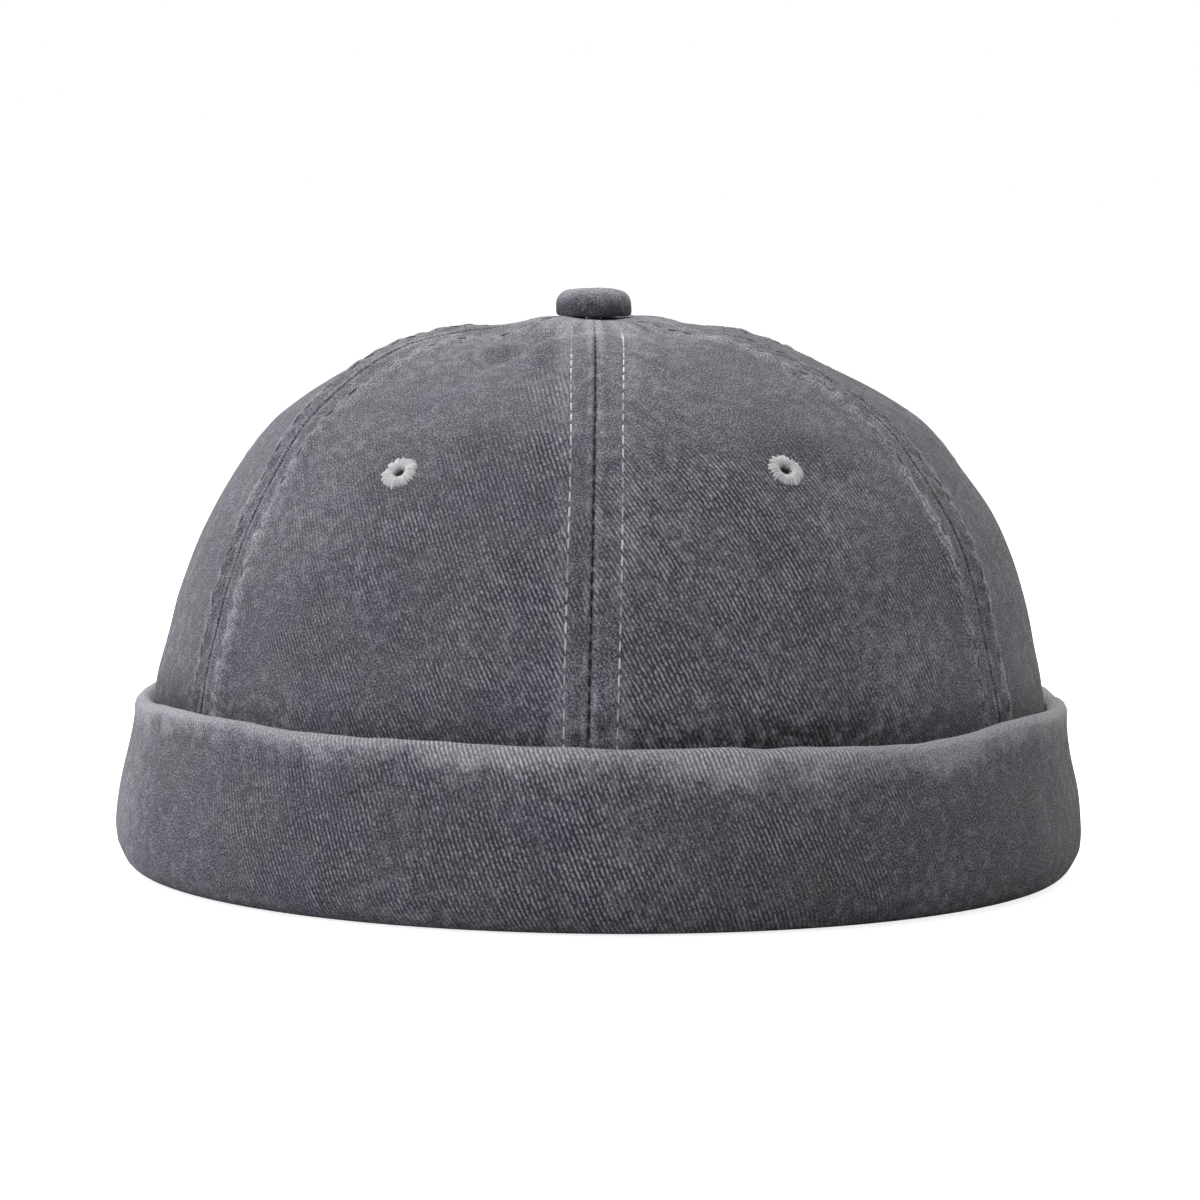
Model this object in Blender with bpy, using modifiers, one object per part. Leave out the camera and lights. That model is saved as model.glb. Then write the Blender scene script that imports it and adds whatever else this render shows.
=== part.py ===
"""A brimless cotton cap: six gores, a turned-up cuff, worked eyelets and a covered button.

The cap stands on its cuff at z = 0 with its front to -Y. A turn is the angle round the
oval plan, 0 at the front and growing towards +X; a climb is the share of the way up the
crown's outer face, 0 at its foot and 1 at the top.
"""
import math

import bpy
import numpy as np
from mathutils import Matrix, Vector

MM = 0.001

# crown
CROWN_HALF_WIDTH = 89.0 * MM
CROWN_HALF_LENGTH = 102.4 * MM
CROWN_TOP = 107.5 * MM
TOP_LEAN = -2.0 * MM
CLOTH = 1.2 * MM
GAP = 0.3 * MM

# cuff
CUFF_HEIGHT = 34.0 * MM
CUFF_BULGE = 6.0 * MM
CUFF_WALL = 2.8 * MM
CUFF_WEB = 3.0 * MM
CUFF_FLAT = 1.8 * MM
CUFF_FILLET = 0.2 * MM
HEM_WALL = 2.4 * MM
HEM_HEIGHT = 15.0 * MM
HEM_SLACK = 0.5 * MM

# seams
SEAM_BAND = 5.2 * MM
SEAM_LIFT = 0.5 * MM
SEAM_DITCH = 0.8 * MM
SEAM_INNER = 2.2 * MM
SEAM_SLOPE = 2.0 * MM
SEAM_LINE = 0.9 * MM
SEAM_START = 11.0 * MM
SEAM_FULL = 33.0 * MM

# eyelets
EYELET_RADIUS = 3.4 * MM
EYELET_BORE = 0.8 * MM
EYELET_NECK = 1.9 * MM
EYELET_RISE = 0.7 * MM
EYELET_SLACK = 0.2 * MM
EYELET_DIMPLE = 0.7 * MM
EYELET_REACH = 6.0 * MM
EYELET_HEIGHT = 82.0 * MM

# button and rivet
BUTTON_RADIUS = 7.4 * MM
BUTTON_HEIGHT = 5.4 * MM
POST_RADIUS = 1.5 * MM
POST_SOCKET = 3.2 * MM
RIVET_HEAD = 4.5 * MM
RIVET_THICK = 1.0 * MM
POST_SLACK = 0.6 * MM
TOP_HOLE = POST_RADIUS + GAP + POST_SLACK

# folds
FOLD_RELIEF = 2.0 * MM
FOLD_THROUGH = 12.0 * MM

FOOT = CUFF_WEB + GAP
HIDDEN_HEIGHT = 24.0 * MM
FADE_HEIGHT = 12.0 * MM
COLUMNS = 12
AROUND = 88

# columns: height as a share of the crown's top, radius as a share of the half width
PROFILE = (
    (FOOT / CROWN_TOP, 1.000),
    (0.115, 1.000),
    (0.232, 0.992),
    (0.340, 0.975),
    (0.449, 0.942),
    (0.538, 0.911),
    (0.625, 0.870),
    (0.713, 0.808),
    (0.800, 0.729),
    (0.845, 0.668),
    (0.888, 0.590),
    (0.928, 0.490),
    (0.952, 0.415),
    (0.974, 0.325),
    (0.991, 0.195),
    (1.000, 0.000),
)

# columns: seam, turn in degrees at the foot, turn in degrees at the top
SEAM_TURNS = {
    "front": (-1.6, -0.2),
    "right": (60.0, 62.0),
    "back_right": (120.0, 119.0),
    "back": (180.0, 180.0),
    "back_left": (240.0, 241.0),
    "left": (301.0, 297.5),
}

# columns: piece, seam where it starts, seam where it ends, turn of its eyelet in degrees,
# height of its eyelet as a share of the usual height
GORES = (
    ("front_right", "front", "right", 30.8, 1.015),
    ("side_right", "right", "back_right", 90.5, 1.0),
    ("back_right", "back_right", "back", 149.8, 1.0),
    ("back_left", "back", "back_left", 210.2, 1.0),
    ("side_left", "back_left", "left", 269.5, 1.0),
    ("front_left", "left", "front", 326.2, 1.0),
)

# rows of a gore: the hidden ones as heights in shares of the crown's top, then how many
# stand below the eyelet and how many from there to the hole for the post
HIDDEN_ROWS = (FOOT / CROWN_TOP, 0.19)
FIRST_ROW = 0.335
ROWS_BELOW = 4
ROWS_ABOVE = 8

# columns: turn in degrees, height share, slant of its length in degrees from straight down,
# half length and half width as shares of the crown's top, lift as a share of the folds'
# relief (below zero is a dent)
FOLDS = (
    (-40.0, 0.985, -62.0, 0.158, 0.051, -0.85),
    (-104.0, 0.985, -20.0, 0.149, 0.074, -0.45),
    (-66.0, 0.930, 0.0, 0.242, 0.102, 1.10),
    (28.0, 0.975, 20.0, 0.140, 0.056, -0.45),
    (-2.0, 0.985, 0.0, 0.121, 0.074, 0.25),
    (72.0, 0.925, 10.0, 0.279, 0.149, -0.35),
    (88.0, 0.560, 0.0, 0.186, 0.223, 0.50),
    (84.0, 0.800, 0.0, 0.084, 0.149, 0.30),
    (-24.0, 0.560, 8.0, 0.279, 0.084, -0.30),
    (26.0, 0.600, -10.0, 0.260, 0.093, -0.25),
    (-88.0, 0.430, 6.0, 0.186, 0.186, 0.30),
    (150.0, 0.620, 10.0, 0.279, 0.093, -0.40),
    (208.0, 0.580, -8.0, 0.279, 0.093, -0.40),
    (178.0, 0.900, 4.0, 0.205, 0.084, -0.35),
)

# columns: height as a share of the cuff's height, outward as a share of the bulge
CUFF_FACE = (
    (0.016, 0.53),
    (0.060, 0.76),
    (0.125, 0.92),
    (0.240, 1.00),
    (0.420, 0.93),
    (0.600, 0.75),
    (0.780, 0.56),
    (0.910, 0.46),
)

# columns: turn in degrees, half spread in degrees, lift of the upper fold as a share of the
# cuff's height, swell outward as a share of the bulge
CUFF_WAVES = (
    (0.0, 26.0, -0.006, 0.050),
    (36.0, 15.0, -0.038, 0.083),
    (-22.0, 6.0, 0.012, -0.050),
    (-58.0, 16.0, 0.015, 0.067),
    (62.0, 10.0, 0.006, 0.067),
    (90.0, 14.0, -0.026, -0.033),
    (-90.0, 14.0, -0.029, -0.033),
    (130.0, 16.0, -0.015, 0.083),
    (180.0, 22.0, 0.018, -0.050),
    (228.0, 16.0, -0.018, 0.083),
)


def clear_scene():
    """Remove what a new file holds."""
    for item in list(bpy.data.objects):
        bpy.data.objects.remove(item, do_unlink=True)


def new_collection(name, hidden=False):
    """Add a collection to the scene."""
    group = bpy.data.collections.new(name)
    bpy.context.scene.collection.children.link(group)
    group.hide_render = hidden
    return group


def move_to(item, group):
    """Keep an object in one collection only."""
    for old in list(item.users_collection):
        old.objects.unlink(item)
    group.objects.link(item)


def new_material(name, colour, roughness, metallic=0.0):
    """Make a Principled material for one piece."""
    finish = bpy.data.materials.new(name)
    finish.use_nodes = True
    shader = finish.node_tree.nodes["Principled BSDF"]
    shader.inputs["Base Color"].default_value = (*colour, 1.0)
    shader.inputs["Roughness"].default_value = roughness
    shader.inputs["Metallic"].default_value = metallic
    return finish


def smooth_rows(rows, steps=16):
    """Run a smooth curve through the rows of a table and return its dense points."""
    points = np.array(rows, dtype=float)
    before = np.vstack([2.0 * points[0] - points[1], points[:-1]])
    after = np.vstack([points[1:], 2.0 * points[-1] - points[-2]])
    after[-1] = (points[-1][0], -points[-2][1])
    slopes = (after - before) / 2.0
    dense = []
    for start, end, leave, arrive in zip(points[:-1], points[1:], slopes[:-1], slopes[1:]):
        for step in range(steps):
            t = step / steps
            dense.append(
                (2 * t**3 - 3 * t**2 + 1) * start
                + (t**3 - 2 * t**2 + t) * leave
                + (3 * t**2 - 2 * t**3) * end
                + (t**3 - t**2) * arrive
            )
    dense.append(points[-1])
    return np.array(dense)


CURVE = smooth_rows(PROFILE)
CURVE_Z = CURVE[:, 0] * CROWN_TOP
CURVE_R = CURVE[:, 1]
STEPS = np.hypot(np.diff(CURVE_Z), np.diff(CURVE_R * CROWN_HALF_WIDTH))
CURVE_S = np.concatenate([[0.0], np.cumsum(STEPS)])
CURVE_S = CURVE_S / CURVE_S[-1]


def climb_at_height(height):
    """Return the climb at which the crown's face stands at a height."""
    return float(np.interp(height, CURVE_Z, CURVE_S))


def climb_at_radius(radius):
    """Return the climb at which the crown's face is this far from the axis."""
    return float(np.interp(-radius / CROWN_HALF_WIDTH, -CURVE_R, CURVE_S))


def crown_base(turn, climb):
    """Return a point of the crown's outer face before seams and folds."""
    share = float(np.interp(climb, CURVE_S, CURVE_R))
    height = float(np.interp(climb, CURVE_S, CURVE_Z))
    lean = TOP_LEAN * (1.0 - share)
    return Vector((
        lean + CROWN_HALF_WIDTH * share * math.sin(turn),
        -CROWN_HALF_LENGTH * share * math.cos(turn),
        height,
    ))


def crown_frame(turn, climb):
    """Return the outward normal and the way up the crown at a point."""
    step = 0.004
    low = max(climb - step, 0.0)
    high = min(climb + step, 0.999)
    up = crown_base(turn, high) - crown_base(turn, low)
    side = crown_base(turn + step, climb) - crown_base(turn - step, climb)
    normal = side.cross(up)
    return normal.normalized(), up.normalized()


def row_reach(turn, climb):
    """Return how far a turn of one radian goes round the crown at a place."""
    step = 0.01
    return (crown_base(turn + step, climb) - crown_base(turn - step, climb)).length / (2.0 * step)


def make_fold_frames():
    """Place every fold of the table on the crown."""
    frames = []
    for turn, height, slant, length, width, lift in FOLDS:
        angle = math.radians(turn)
        climb = climb_at_height(height * CROWN_TOP)
        normal, up = crown_frame(angle, climb)
        turned = Matrix.Rotation(math.radians(slant), 3, normal)
        along = turned @ up
        across = normal.cross(along)
        size = (length * CROWN_TOP, width * CROWN_TOP, lift * FOLD_RELIEF)
        frames.append((crown_base(angle, climb), along, across, *size))
    return frames


FOLD_FRAMES = make_fold_frames()


def seam_turn(seam, climb, past=-1000.0):
    """Return a seam's turn at a climb, in radians, and at least as far round as another turn."""
    foot, top = SEAM_TURNS[seam]
    turn = math.radians(foot + (top - foot) * climb)
    while turn < past:
        turn += 2.0 * math.pi
    return turn


EYELET_SPOTS = [
    crown_base(math.radians(turn), climb_at_height(share * EYELET_HEIGHT))
    for *_, turn, share in GORES
]


def crown_lift(place, turn, climb):
    """Return how far seams, folds and eyelets lift the crown's face at a place."""
    reach = row_reach(turn, climb)
    near = 1.0e9
    for seam in SEAM_TURNS:
        away = (turn - seam_turn(seam, climb) + math.pi) % (2.0 * math.pi) - math.pi
        near = min(near, abs(away) * reach)
    weight = min(max((reach - SEAM_START) / (SEAM_FULL - SEAM_START), 0.0), 1.0)
    band = min(max((SEAM_BAND + SEAM_SLOPE - near) / SEAM_SLOPE, 0.0), 1.0)
    ditch = math.exp(-((near / SEAM_LINE) ** 2))
    lift = weight * (SEAM_LIFT * band - SEAM_DITCH * ditch)
    for centre, along, across, length, width, height in FOLD_FRAMES:
        gone = place - centre
        far = (gone.dot(along) / length) ** 2 + (gone.dot(across) / width) ** 2
        rest = gone.length_squared - gone.dot(along) ** 2 - gone.dot(across) ** 2
        far += max(rest, 0.0) / FOLD_THROUGH**2
        lift += height * math.exp(-far)
    for centre in EYELET_SPOTS:
        lift -= EYELET_DIMPLE * math.exp(-((place - centre).length / EYELET_REACH) ** 2)
    return lift * min(max((place.z - HIDDEN_HEIGHT) / FADE_HEIGHT, 0.0), 1.0)


def crown_point(turn, climb):
    """Return a point of the crown's finished outer face."""
    place = crown_base(turn, climb)
    normal, _ = crown_frame(turn, climb)
    return place + normal * crown_lift(place, turn, climb)


def column_shares(width):
    """Return where a gore's columns stand in a row of this width."""
    inner = min(1.0 / COLUMNS, SEAM_INNER / width)
    band = min(2.0 / COLUMNS, (SEAM_BAND + GAP) / width)
    middle = np.linspace(band, 1.0 - band, COLUMNS - 3)
    return [0.0, inner, *middle.tolist(), 1.0 - inner, 1.0]


def gore_climbs(eyelet):
    """Return the climb of every row of a gore, with one row at its eyelet's climb."""
    low = [climb_at_height(share * CROWN_TOP) for share in HIDDEN_ROWS]
    last = climb_at_radius(TOP_HOLE)
    below = np.linspace(climb_at_height(FIRST_ROW * CROWN_TOP), eyelet, ROWS_BELOW + 1)
    above = np.linspace(eyelet, last, ROWS_ABOVE + 1)[1:]
    return [*low, *below.tolist(), *above.tolist()]


def apply_modifier(item, modifier):
    """Apply one modifier of an object."""
    bpy.ops.object.select_all(action="DESELECT")
    item.select_set(True)
    bpy.context.view_layer.objects.active = item
    bpy.ops.object.modifier_apply(modifier=modifier.name)


def smooth_faces(item):
    """Shade an object smooth."""
    for face in item.data.polygons:
        face.use_smooth = True


def make_gore(name, start, end, middle, eyelet, group, cutters, finish):
    """Make one gore of the crown from a grid, with its eyelet hole cut."""
    climbs = gore_climbs(eyelet)
    bpy.ops.mesh.primitive_grid_add(x_subdivisions=COLUMNS, y_subdivisions=len(climbs) - 1, size=2.0)
    gore = bpy.context.active_object
    gore.name = "panel_" + name
    gore.data.name = gore.name
    for index, vertex in enumerate(gore.data.vertices):
        row, column = divmod(index, COLUMNS + 1)
        climb = climbs[row]
        first = seam_turn(start, climb)
        last = seam_turn(end, climb, first)
        left = first + 0.5 * GAP / row_reach(first, climb)
        right = last - 0.5 * GAP / row_reach(last, climb)
        width = row_reach(0.5 * (first + last), climb) * (right - left)
        turn = left + (right - left) * column_shares(width)[column]
        vertex.co = crown_point(turn, climb)
    thick = gore.modifiers.new("cloth", "SOLIDIFY")
    thick.thickness = CLOTH
    thick.offset = -1.0
    thick.use_even_offset = True
    apply_modifier(gore, thick)

    normal, _ = crown_frame(middle, eyelet)
    bpy.ops.mesh.primitive_cylinder_add(
        vertices=16,
        radius=EYELET_NECK + GAP,
        depth=8.0 * CLOTH,
        location=crown_point(middle, eyelet),
        rotation=normal.to_track_quat("Z", "Y").to_euler(),
    )
    cutter = bpy.context.active_object
    cutter.name = "cut_" + name
    cutter.display_type = "WIRE"
    cutter.hide_render = True
    move_to(cutter, cutters)
    hole = gore.modifiers.new("eyelet_hole", "BOOLEAN")
    hole.operation = "DIFFERENCE"
    hole.solver = "EXACT"
    hole.object = cutter
    bpy.context.view_layer.update()
    apply_modifier(gore, hole)
    gore.data.materials.clear()
    gore.data.materials.append(finish)
    move_to(gore, group)
    return gore


def turned(name, profile, steps, group, finish):
    """Turn a closed or open profile of (radius, height) pairs into a solid."""
    mesh = bpy.data.meshes.new(name)
    points = [(radius, 0.0, height) for radius, height in profile]
    edges = [(at, at + 1) for at in range(len(points) - 1)]
    if profile[0][0] > 0.0:
        edges.append((len(points) - 1, 0))
    mesh.from_pydata(points, edges, [])
    item = bpy.data.objects.new(name, mesh)
    group.objects.link(item)
    spin = item.modifiers.new("turn", "SCREW")
    spin.axis = "Z"
    spin.angle = 2.0 * math.pi
    spin.steps = steps
    spin.render_steps = steps
    spin.use_merge_vertices = True
    spin.merge_threshold = 0.00005
    spin.use_normal_calculate = False
    apply_modifier(item, spin)
    item.data.materials.append(finish)
    return item


def cuff_wave(turn):
    """Return the lift of the cuff's upper fold and its swell outward at a turn."""
    lift = 0.0
    swell = 0.0
    for middle, spread, rise, out in CUFF_WAVES:
        away = (math.degrees(turn) - middle + 180.0) % 360.0 - 180.0
        share = math.exp(-((away / spread) ** 2))
        lift += rise * CUFF_HEIGHT * share
        swell += out * CUFF_BULGE * share
    return lift, swell


def cuff_section(turn):
    """Return the cuff's closed section as (offset from the crown's foot, height) pairs."""
    lift, swell = cuff_wave(turn)
    height = CUFF_HEIGHT + lift
    half = CUFF_WALL / 2.0
    points = [(-CUFF_FLAT, 0.0), (CUFF_FLAT, 0.0)]
    for level, out in CUFF_FACE:
        push = swell * math.sin(math.pi * min(level, 1.0)) ** 0.5
        points.append((CUFF_BULGE * out + push, level * height))
    upper = points[-1]
    top = height - half
    for angle in (30.0, 65.0, 100.0, 140.0):
        turn_up = math.radians(angle)
        points.append((
            upper[0] - half + half * math.cos(turn_up),
            top + half * math.sin(turn_up),
        ))
    for level, out in reversed(CUFF_FACE[3:]):
        push = swell * math.sin(math.pi * level) ** 0.5
        points.append((CUFF_BULGE * out + push - CUFF_WALL, level * height))
    points.append((0.18 * CUFF_BULGE, CUFF_WEB + CUFF_FILLET))
    points.append((0.0, CUFF_WEB))
    hem_out = -CLOTH - GAP - HEM_SLACK
    hem_in = hem_out - HEM_WALL
    points.append((hem_out, CUFF_WEB))
    points.append((hem_out, HEM_HEIGHT - 0.35 * HEM_WALL))
    points.append((hem_out - 0.5 * HEM_WALL, HEM_HEIGHT))
    points.append((hem_in, HEM_HEIGHT - 0.35 * HEM_WALL))
    points.append((hem_in, 0.5 * HEM_HEIGHT))
    points.append((hem_in, 0.2 * HEM_HEIGHT))
    points.append((hem_in + 0.35 * HEM_WALL, 0.055 * HEM_HEIGHT))
    return points


def make_cuff(group, finish):
    """Make the cuff from a torus whose rings take the cuff's section."""
    count = len(cuff_section(0.0))
    bpy.ops.mesh.primitive_torus_add(
        major_segments=AROUND,
        minor_segments=count,
        major_radius=CROWN_HALF_WIDTH,
        minor_radius=CUFF_WALL,
    )
    cuff = bpy.context.active_object
    cuff.name = "cuff"
    cuff.data.name = "cuff"
    for index, vertex in enumerate(cuff.data.vertices):
        ring, spot = divmod(index, count)
        turn = 2.0 * math.pi * ring / AROUND
        offset, height = cuff_section(turn)[spot]
        vertex.co = (
            (CROWN_HALF_WIDTH + offset) * math.sin(turn),
            -(CROWN_HALF_LENGTH + offset) * math.cos(turn),
            height,
        )
    cuff.data.materials.clear()
    cuff.data.materials.append(finish)
    move_to(cuff, group)
    smooth_faces(cuff)
    return cuff


def make_eyelet(name, middle, climb, group, finish):
    """Make one worked eyelet: a ring on the face, a neck through the cloth, a ring inside."""
    outer = EYELET_RADIUS
    low = GAP + EYELET_SLACK
    back = -CLOTH - GAP - EYELET_SLACK
    profile = [
        (EYELET_BORE, low + 0.75 * EYELET_RISE),
        (0.60 * outer, low + EYELET_RISE),
        (outer, low + 0.35 * EYELET_RISE),
        (outer, low),
        (EYELET_NECK, low),
        (EYELET_NECK, back),
        (0.88 * outer, back),
        (0.88 * outer, back - 0.45 * EYELET_RISE),
        (EYELET_BORE, back - 0.7 * EYELET_RISE),
    ]
    ring = turned("eyelet_" + name, profile, 12, group, finish)
    normal, _ = crown_frame(middle, climb)
    ring.location = crown_point(middle, climb)
    ring.rotation_euler = normal.to_track_quat("Z", "Y").to_euler()
    smooth_faces(ring)
    return ring


def make_button(group, finish):
    """Make the covered button with a blind socket for the post."""
    radius = BUTTON_RADIUS
    tall = BUTTON_HEIGHT
    profile = [
        (0.0, tall),
        (0.45 * radius, 0.985 * tall),
        (0.74 * radius, 0.93 * tall),
        (0.90 * radius, 0.80 * tall),
        (0.98 * radius, 0.56 * tall),
        (radius, 0.30 * tall),
        (0.97 * radius, 0.08 * tall),
        (0.92 * radius, 0.0),
        (POST_RADIUS + GAP, 0.0),
        (POST_RADIUS + GAP, POST_SOCKET + GAP),
        (0.0, POST_SOCKET + GAP),
    ]
    button = turned("top_button", profile, 24, group, finish)
    button.location = (TOP_LEAN, 0.0, CROWN_TOP + GAP)
    smooth_faces(button)
    return button


def make_rivet(group, finish):
    """Make the plain post that holds the button, with its head inside the crown."""
    head_top = -CLOTH - 2.0 * GAP
    profile = [
        (0.0, GAP + POST_SOCKET),
        (POST_RADIUS, GAP + POST_SOCKET),
        (POST_RADIUS, head_top),
        (RIVET_HEAD, head_top - 0.3 * RIVET_THICK),
        (RIVET_HEAD, head_top - 0.7 * RIVET_THICK),
        (0.85 * RIVET_HEAD, head_top - RIVET_THICK),
        (0.0, head_top - RIVET_THICK),
    ]
    rivet = turned("button_rivet", profile, 16, group, finish)
    rivet.location = (TOP_LEAN, 0.0, CROWN_TOP)
    return rivet


def main():
    """Build the cap."""
    clear_scene()
    cap = new_collection("distressed_cap")
    cutters = new_collection("cutters", hidden=True)
    for name, start, end, turn, share in GORES:
        cloth = new_material("washed_twill_" + name, (0.125, 0.123, 0.142), 0.95)
        climb = climb_at_height(share * EYELET_HEIGHT)
        make_gore(name, start, end, math.radians(turn), climb, cap, cutters, cloth)
    make_cuff(cap, new_material("washed_twill_cuff", (0.105, 0.103, 0.118), 0.95))
    for name, _, _, turn, share in GORES:
        thread = new_material("eyelet_thread_" + name, (0.36, 0.36, 0.37), 0.8)
        climb = climb_at_height(share * EYELET_HEIGHT)
        make_eyelet(name, math.radians(turn), climb, cap, thread)
    make_button(cap, new_material("button_cloth", (0.075, 0.073, 0.088), 0.95))
    make_rivet(cap, new_material("rivet_steel", (0.55, 0.55, 0.56), 0.35, 1.0))


main()
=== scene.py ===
"""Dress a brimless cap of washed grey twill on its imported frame.

The cap stands on its cuff at z = 0 with its front to -Y, in metres. A turn is the angle
round the oval plan in radians, 0 at the front and growing towards +X. A climb is the share
of the way up the crown's outer face, 0 at its foot and 1 at the top.
"""
import logging
import math
from dataclasses import dataclass, field
from enum import Enum
from typing import Union

import bpy
import numpy as np
from mathutils import Matrix, Vector, noise


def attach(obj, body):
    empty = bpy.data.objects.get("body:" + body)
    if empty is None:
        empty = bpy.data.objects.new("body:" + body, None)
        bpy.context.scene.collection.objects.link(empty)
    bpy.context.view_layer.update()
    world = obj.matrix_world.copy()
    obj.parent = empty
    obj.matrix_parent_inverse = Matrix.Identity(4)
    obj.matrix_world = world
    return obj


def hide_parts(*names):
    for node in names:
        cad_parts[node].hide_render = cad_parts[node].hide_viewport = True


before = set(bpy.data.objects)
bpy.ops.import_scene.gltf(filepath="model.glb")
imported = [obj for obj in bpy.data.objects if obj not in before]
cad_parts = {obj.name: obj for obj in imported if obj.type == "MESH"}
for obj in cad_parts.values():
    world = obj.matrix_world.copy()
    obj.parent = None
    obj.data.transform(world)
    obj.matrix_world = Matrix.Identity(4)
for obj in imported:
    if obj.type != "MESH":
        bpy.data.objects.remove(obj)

MM = 0.001
ONE_BAND = 0.31416  # the wave texture's scale for one band in each unit
NOISE_RANGE = (0.3, 0.7)  # where nearly all of a noise texture's values lie
Feed = Union[bpy.types.NodeSocket, float, tuple]
LOG = logging.getLogger("cap")
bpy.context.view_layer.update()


class Thread(Enum):
    """The sewing threads, with how light each has stayed in the wash."""

    PALE = "#cfced2"
    GREYED = "#77767d"


class Seam(Enum):
    """The six seams of the crown, named for where they stand."""

    FRONT = "front"
    RIGHT = "right"
    BACK_RIGHT = "back_right"
    BACK = "back"
    BACK_LEFT = "back_left"
    LEFT = "left"


@dataclass(frozen=True)
class SeamWork:
    """How one seam runs and is sewn.

    The turns are in degrees, the rows of topstitching stand this far to either side of the
    ditch, and the puckers and the raised band are shares of the crown's usual ones.
    """

    foot_turn: float
    top_turn: float
    row_before: float
    row_after: float
    pucker: float
    raised: float
    thread: Thread


SEAMS = {
    Seam.FRONT: SeamWork(-1.6, -0.2, 4.5 * MM, 5.3 * MM, 0.22, 0.75, Thread.PALE),
    Seam.RIGHT: SeamWork(60.0, 62.0, 4.8 * MM, 4.8 * MM, 1.0, 1.0, Thread.GREYED),
    Seam.BACK_RIGHT: SeamWork(120.0, 119.0, 4.8 * MM, 4.8 * MM, 0.8, 1.0, Thread.GREYED),
    Seam.BACK: SeamWork(180.0, 180.0, 4.8 * MM, 4.8 * MM, 0.5, 0.9, Thread.GREYED),
    Seam.BACK_LEFT: SeamWork(240.0, 241.0, 4.8 * MM, 4.8 * MM, 0.8, 1.0, Thread.GREYED),
    Seam.LEFT: SeamWork(301.0, 297.5, 4.8 * MM, 4.8 * MM, 1.0, 1.0, Thread.GREYED),
}


@dataclass(frozen=True)
class GoreCut:
    """One gore's place between two seams, its eyelet, and how its grain lies.

    The grain is turned this many degrees and spread by this share. Inside says how light
    the eyelet's core is painted, as a share of its thread: painted shade for its hole.
    """

    name: str
    start: Seam
    end: Seam
    eyelet_turn: float
    eyelet_height: float
    grain: float = 0.0
    spread: float = 1.0
    inside: float = 0.22


GORE_CUTS = (
    # the front right eyelet's core has the darkest painted shade
    GoreCut("front_right", Seam.FRONT, Seam.RIGHT, 31.0, 82.65 * MM, 0.0, 0.93, 0.09),
    GoreCut("side_right", Seam.RIGHT, Seam.BACK_RIGHT, 90.5, 82.0 * MM),
    GoreCut("back_right", Seam.BACK_RIGHT, Seam.BACK, 149.8, 82.0 * MM),
    GoreCut("back_left", Seam.BACK, Seam.BACK_LEFT, 210.2, 82.0 * MM),
    GoreCut("side_left", Seam.BACK_LEFT, Seam.LEFT, 269.5, 82.0 * MM),
    GoreCut("front_left", Seam.LEFT, Seam.FRONT, 326.7, 81.4 * MM, 10.0, 1.06),
)

# columns: height as a share of the crown's top, radius as a share of the half width
CROWN_PROFILE = (
    (3.3 / 107.5, 1.000),
    (0.115, 1.000),
    (0.232, 0.992),
    (0.340, 0.975),
    (0.449, 0.942),
    (0.538, 0.911),
    (0.625, 0.870),
    (0.713, 0.808),
    (0.800, 0.729),
    (0.845, 0.668),
    (0.888, 0.590),
    (0.928, 0.490),
    (0.952, 0.415),
    (0.974, 0.325),
    (0.991, 0.195),
    (1.000, 0.000),
)

# columns: turn in degrees, height share, slant of its length in degrees from straight down,
# half length and half width as shares of the crown's top, lift as a share of the folds'
# relief (below zero is a dent)
CROWN_FOLDS = (
    (-40.0, 0.985, -62.0, 0.158, 0.051, -0.85),
    (-104.0, 0.985, -20.0, 0.149, 0.074, -0.45),
    (-66.0, 0.930, 0.0, 0.242, 0.102, 1.10),
    (28.0, 0.975, 20.0, 0.140, 0.056, -0.45),
    (-2.0, 0.985, 0.0, 0.121, 0.074, 0.25),
    (72.0, 0.925, 10.0, 0.279, 0.149, -0.35),
    (88.0, 0.560, 0.0, 0.186, 0.223, 0.50),
    (84.0, 0.800, 0.0, 0.084, 0.149, 0.30),
    (-24.0, 0.560, 8.0, 0.279, 0.084, -0.30),
    (26.0, 0.600, -10.0, 0.260, 0.093, -0.25),
    (-88.0, 0.430, 6.0, 0.186, 0.186, 0.30),
    (150.0, 0.620, 10.0, 0.279, 0.093, -0.40),
    (208.0, 0.580, -8.0, 0.279, 0.093, -0.40),
    (178.0, 0.900, 4.0, 0.205, 0.084, -0.35),
    (-30.0, 0.968, -6.0, 0.120, 0.034, -1.35),
    (17.0, 0.950, -6.0, 0.090, 0.022, 0.40),
    (-18.0, 0.962, 0.0, 0.090, 0.024, 0.80),
)

# columns: relief, distance apart and seed of the soft lumps in the cloth
CROWN_SWELLS = ((0.75 * MM, 27.0 * MM, 1.7), (0.30 * MM, 10.0 * MM, 5.3))
CUFF_SWELLS = ((0.65 * MM, 24.0 * MM, 4.4), (0.34 * MM, 9.0 * MM, 9.1))
CUFF_FRAY = ((2.6 * MM, 8.0 * MM, 3.3), (1.6 * MM, 3.5 * MM, 8.8))

# columns: height as a share of the cuff's height, outward as a share of the bulge
CUFF_FACE = (
    (0.016, 0.53),
    (0.060, 0.76),
    (0.125, 0.92),
    (0.170, 0.96),
    (0.260, 1.00),
    (0.420, 0.93),
    (0.600, 0.75),
    (0.760, 0.58),
    (0.880, 0.48),
)

# columns: turn in degrees, half spread in degrees, lift of the upper fold as a share of the
# cuff's height, swell outward as a share of the bulge
CUFF_WAVES = (
    (0.0, 26.0, -0.006, 0.050),
    (36.0, 15.0, -0.038, 0.083),
    (-22.0, 6.0, 0.012, -0.050),
    (-58.0, 16.0, 0.015, 0.067),
    (62.0, 10.0, 0.006, 0.067),
    (90.0, 14.0, -0.026, -0.033),
    (-90.0, 14.0, -0.029, -0.033),
    (130.0, 16.0, -0.015, 0.083),
    (180.0, 22.0, 0.018, -0.050),
    (228.0, 16.0, -0.018, 0.083),
)


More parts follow.
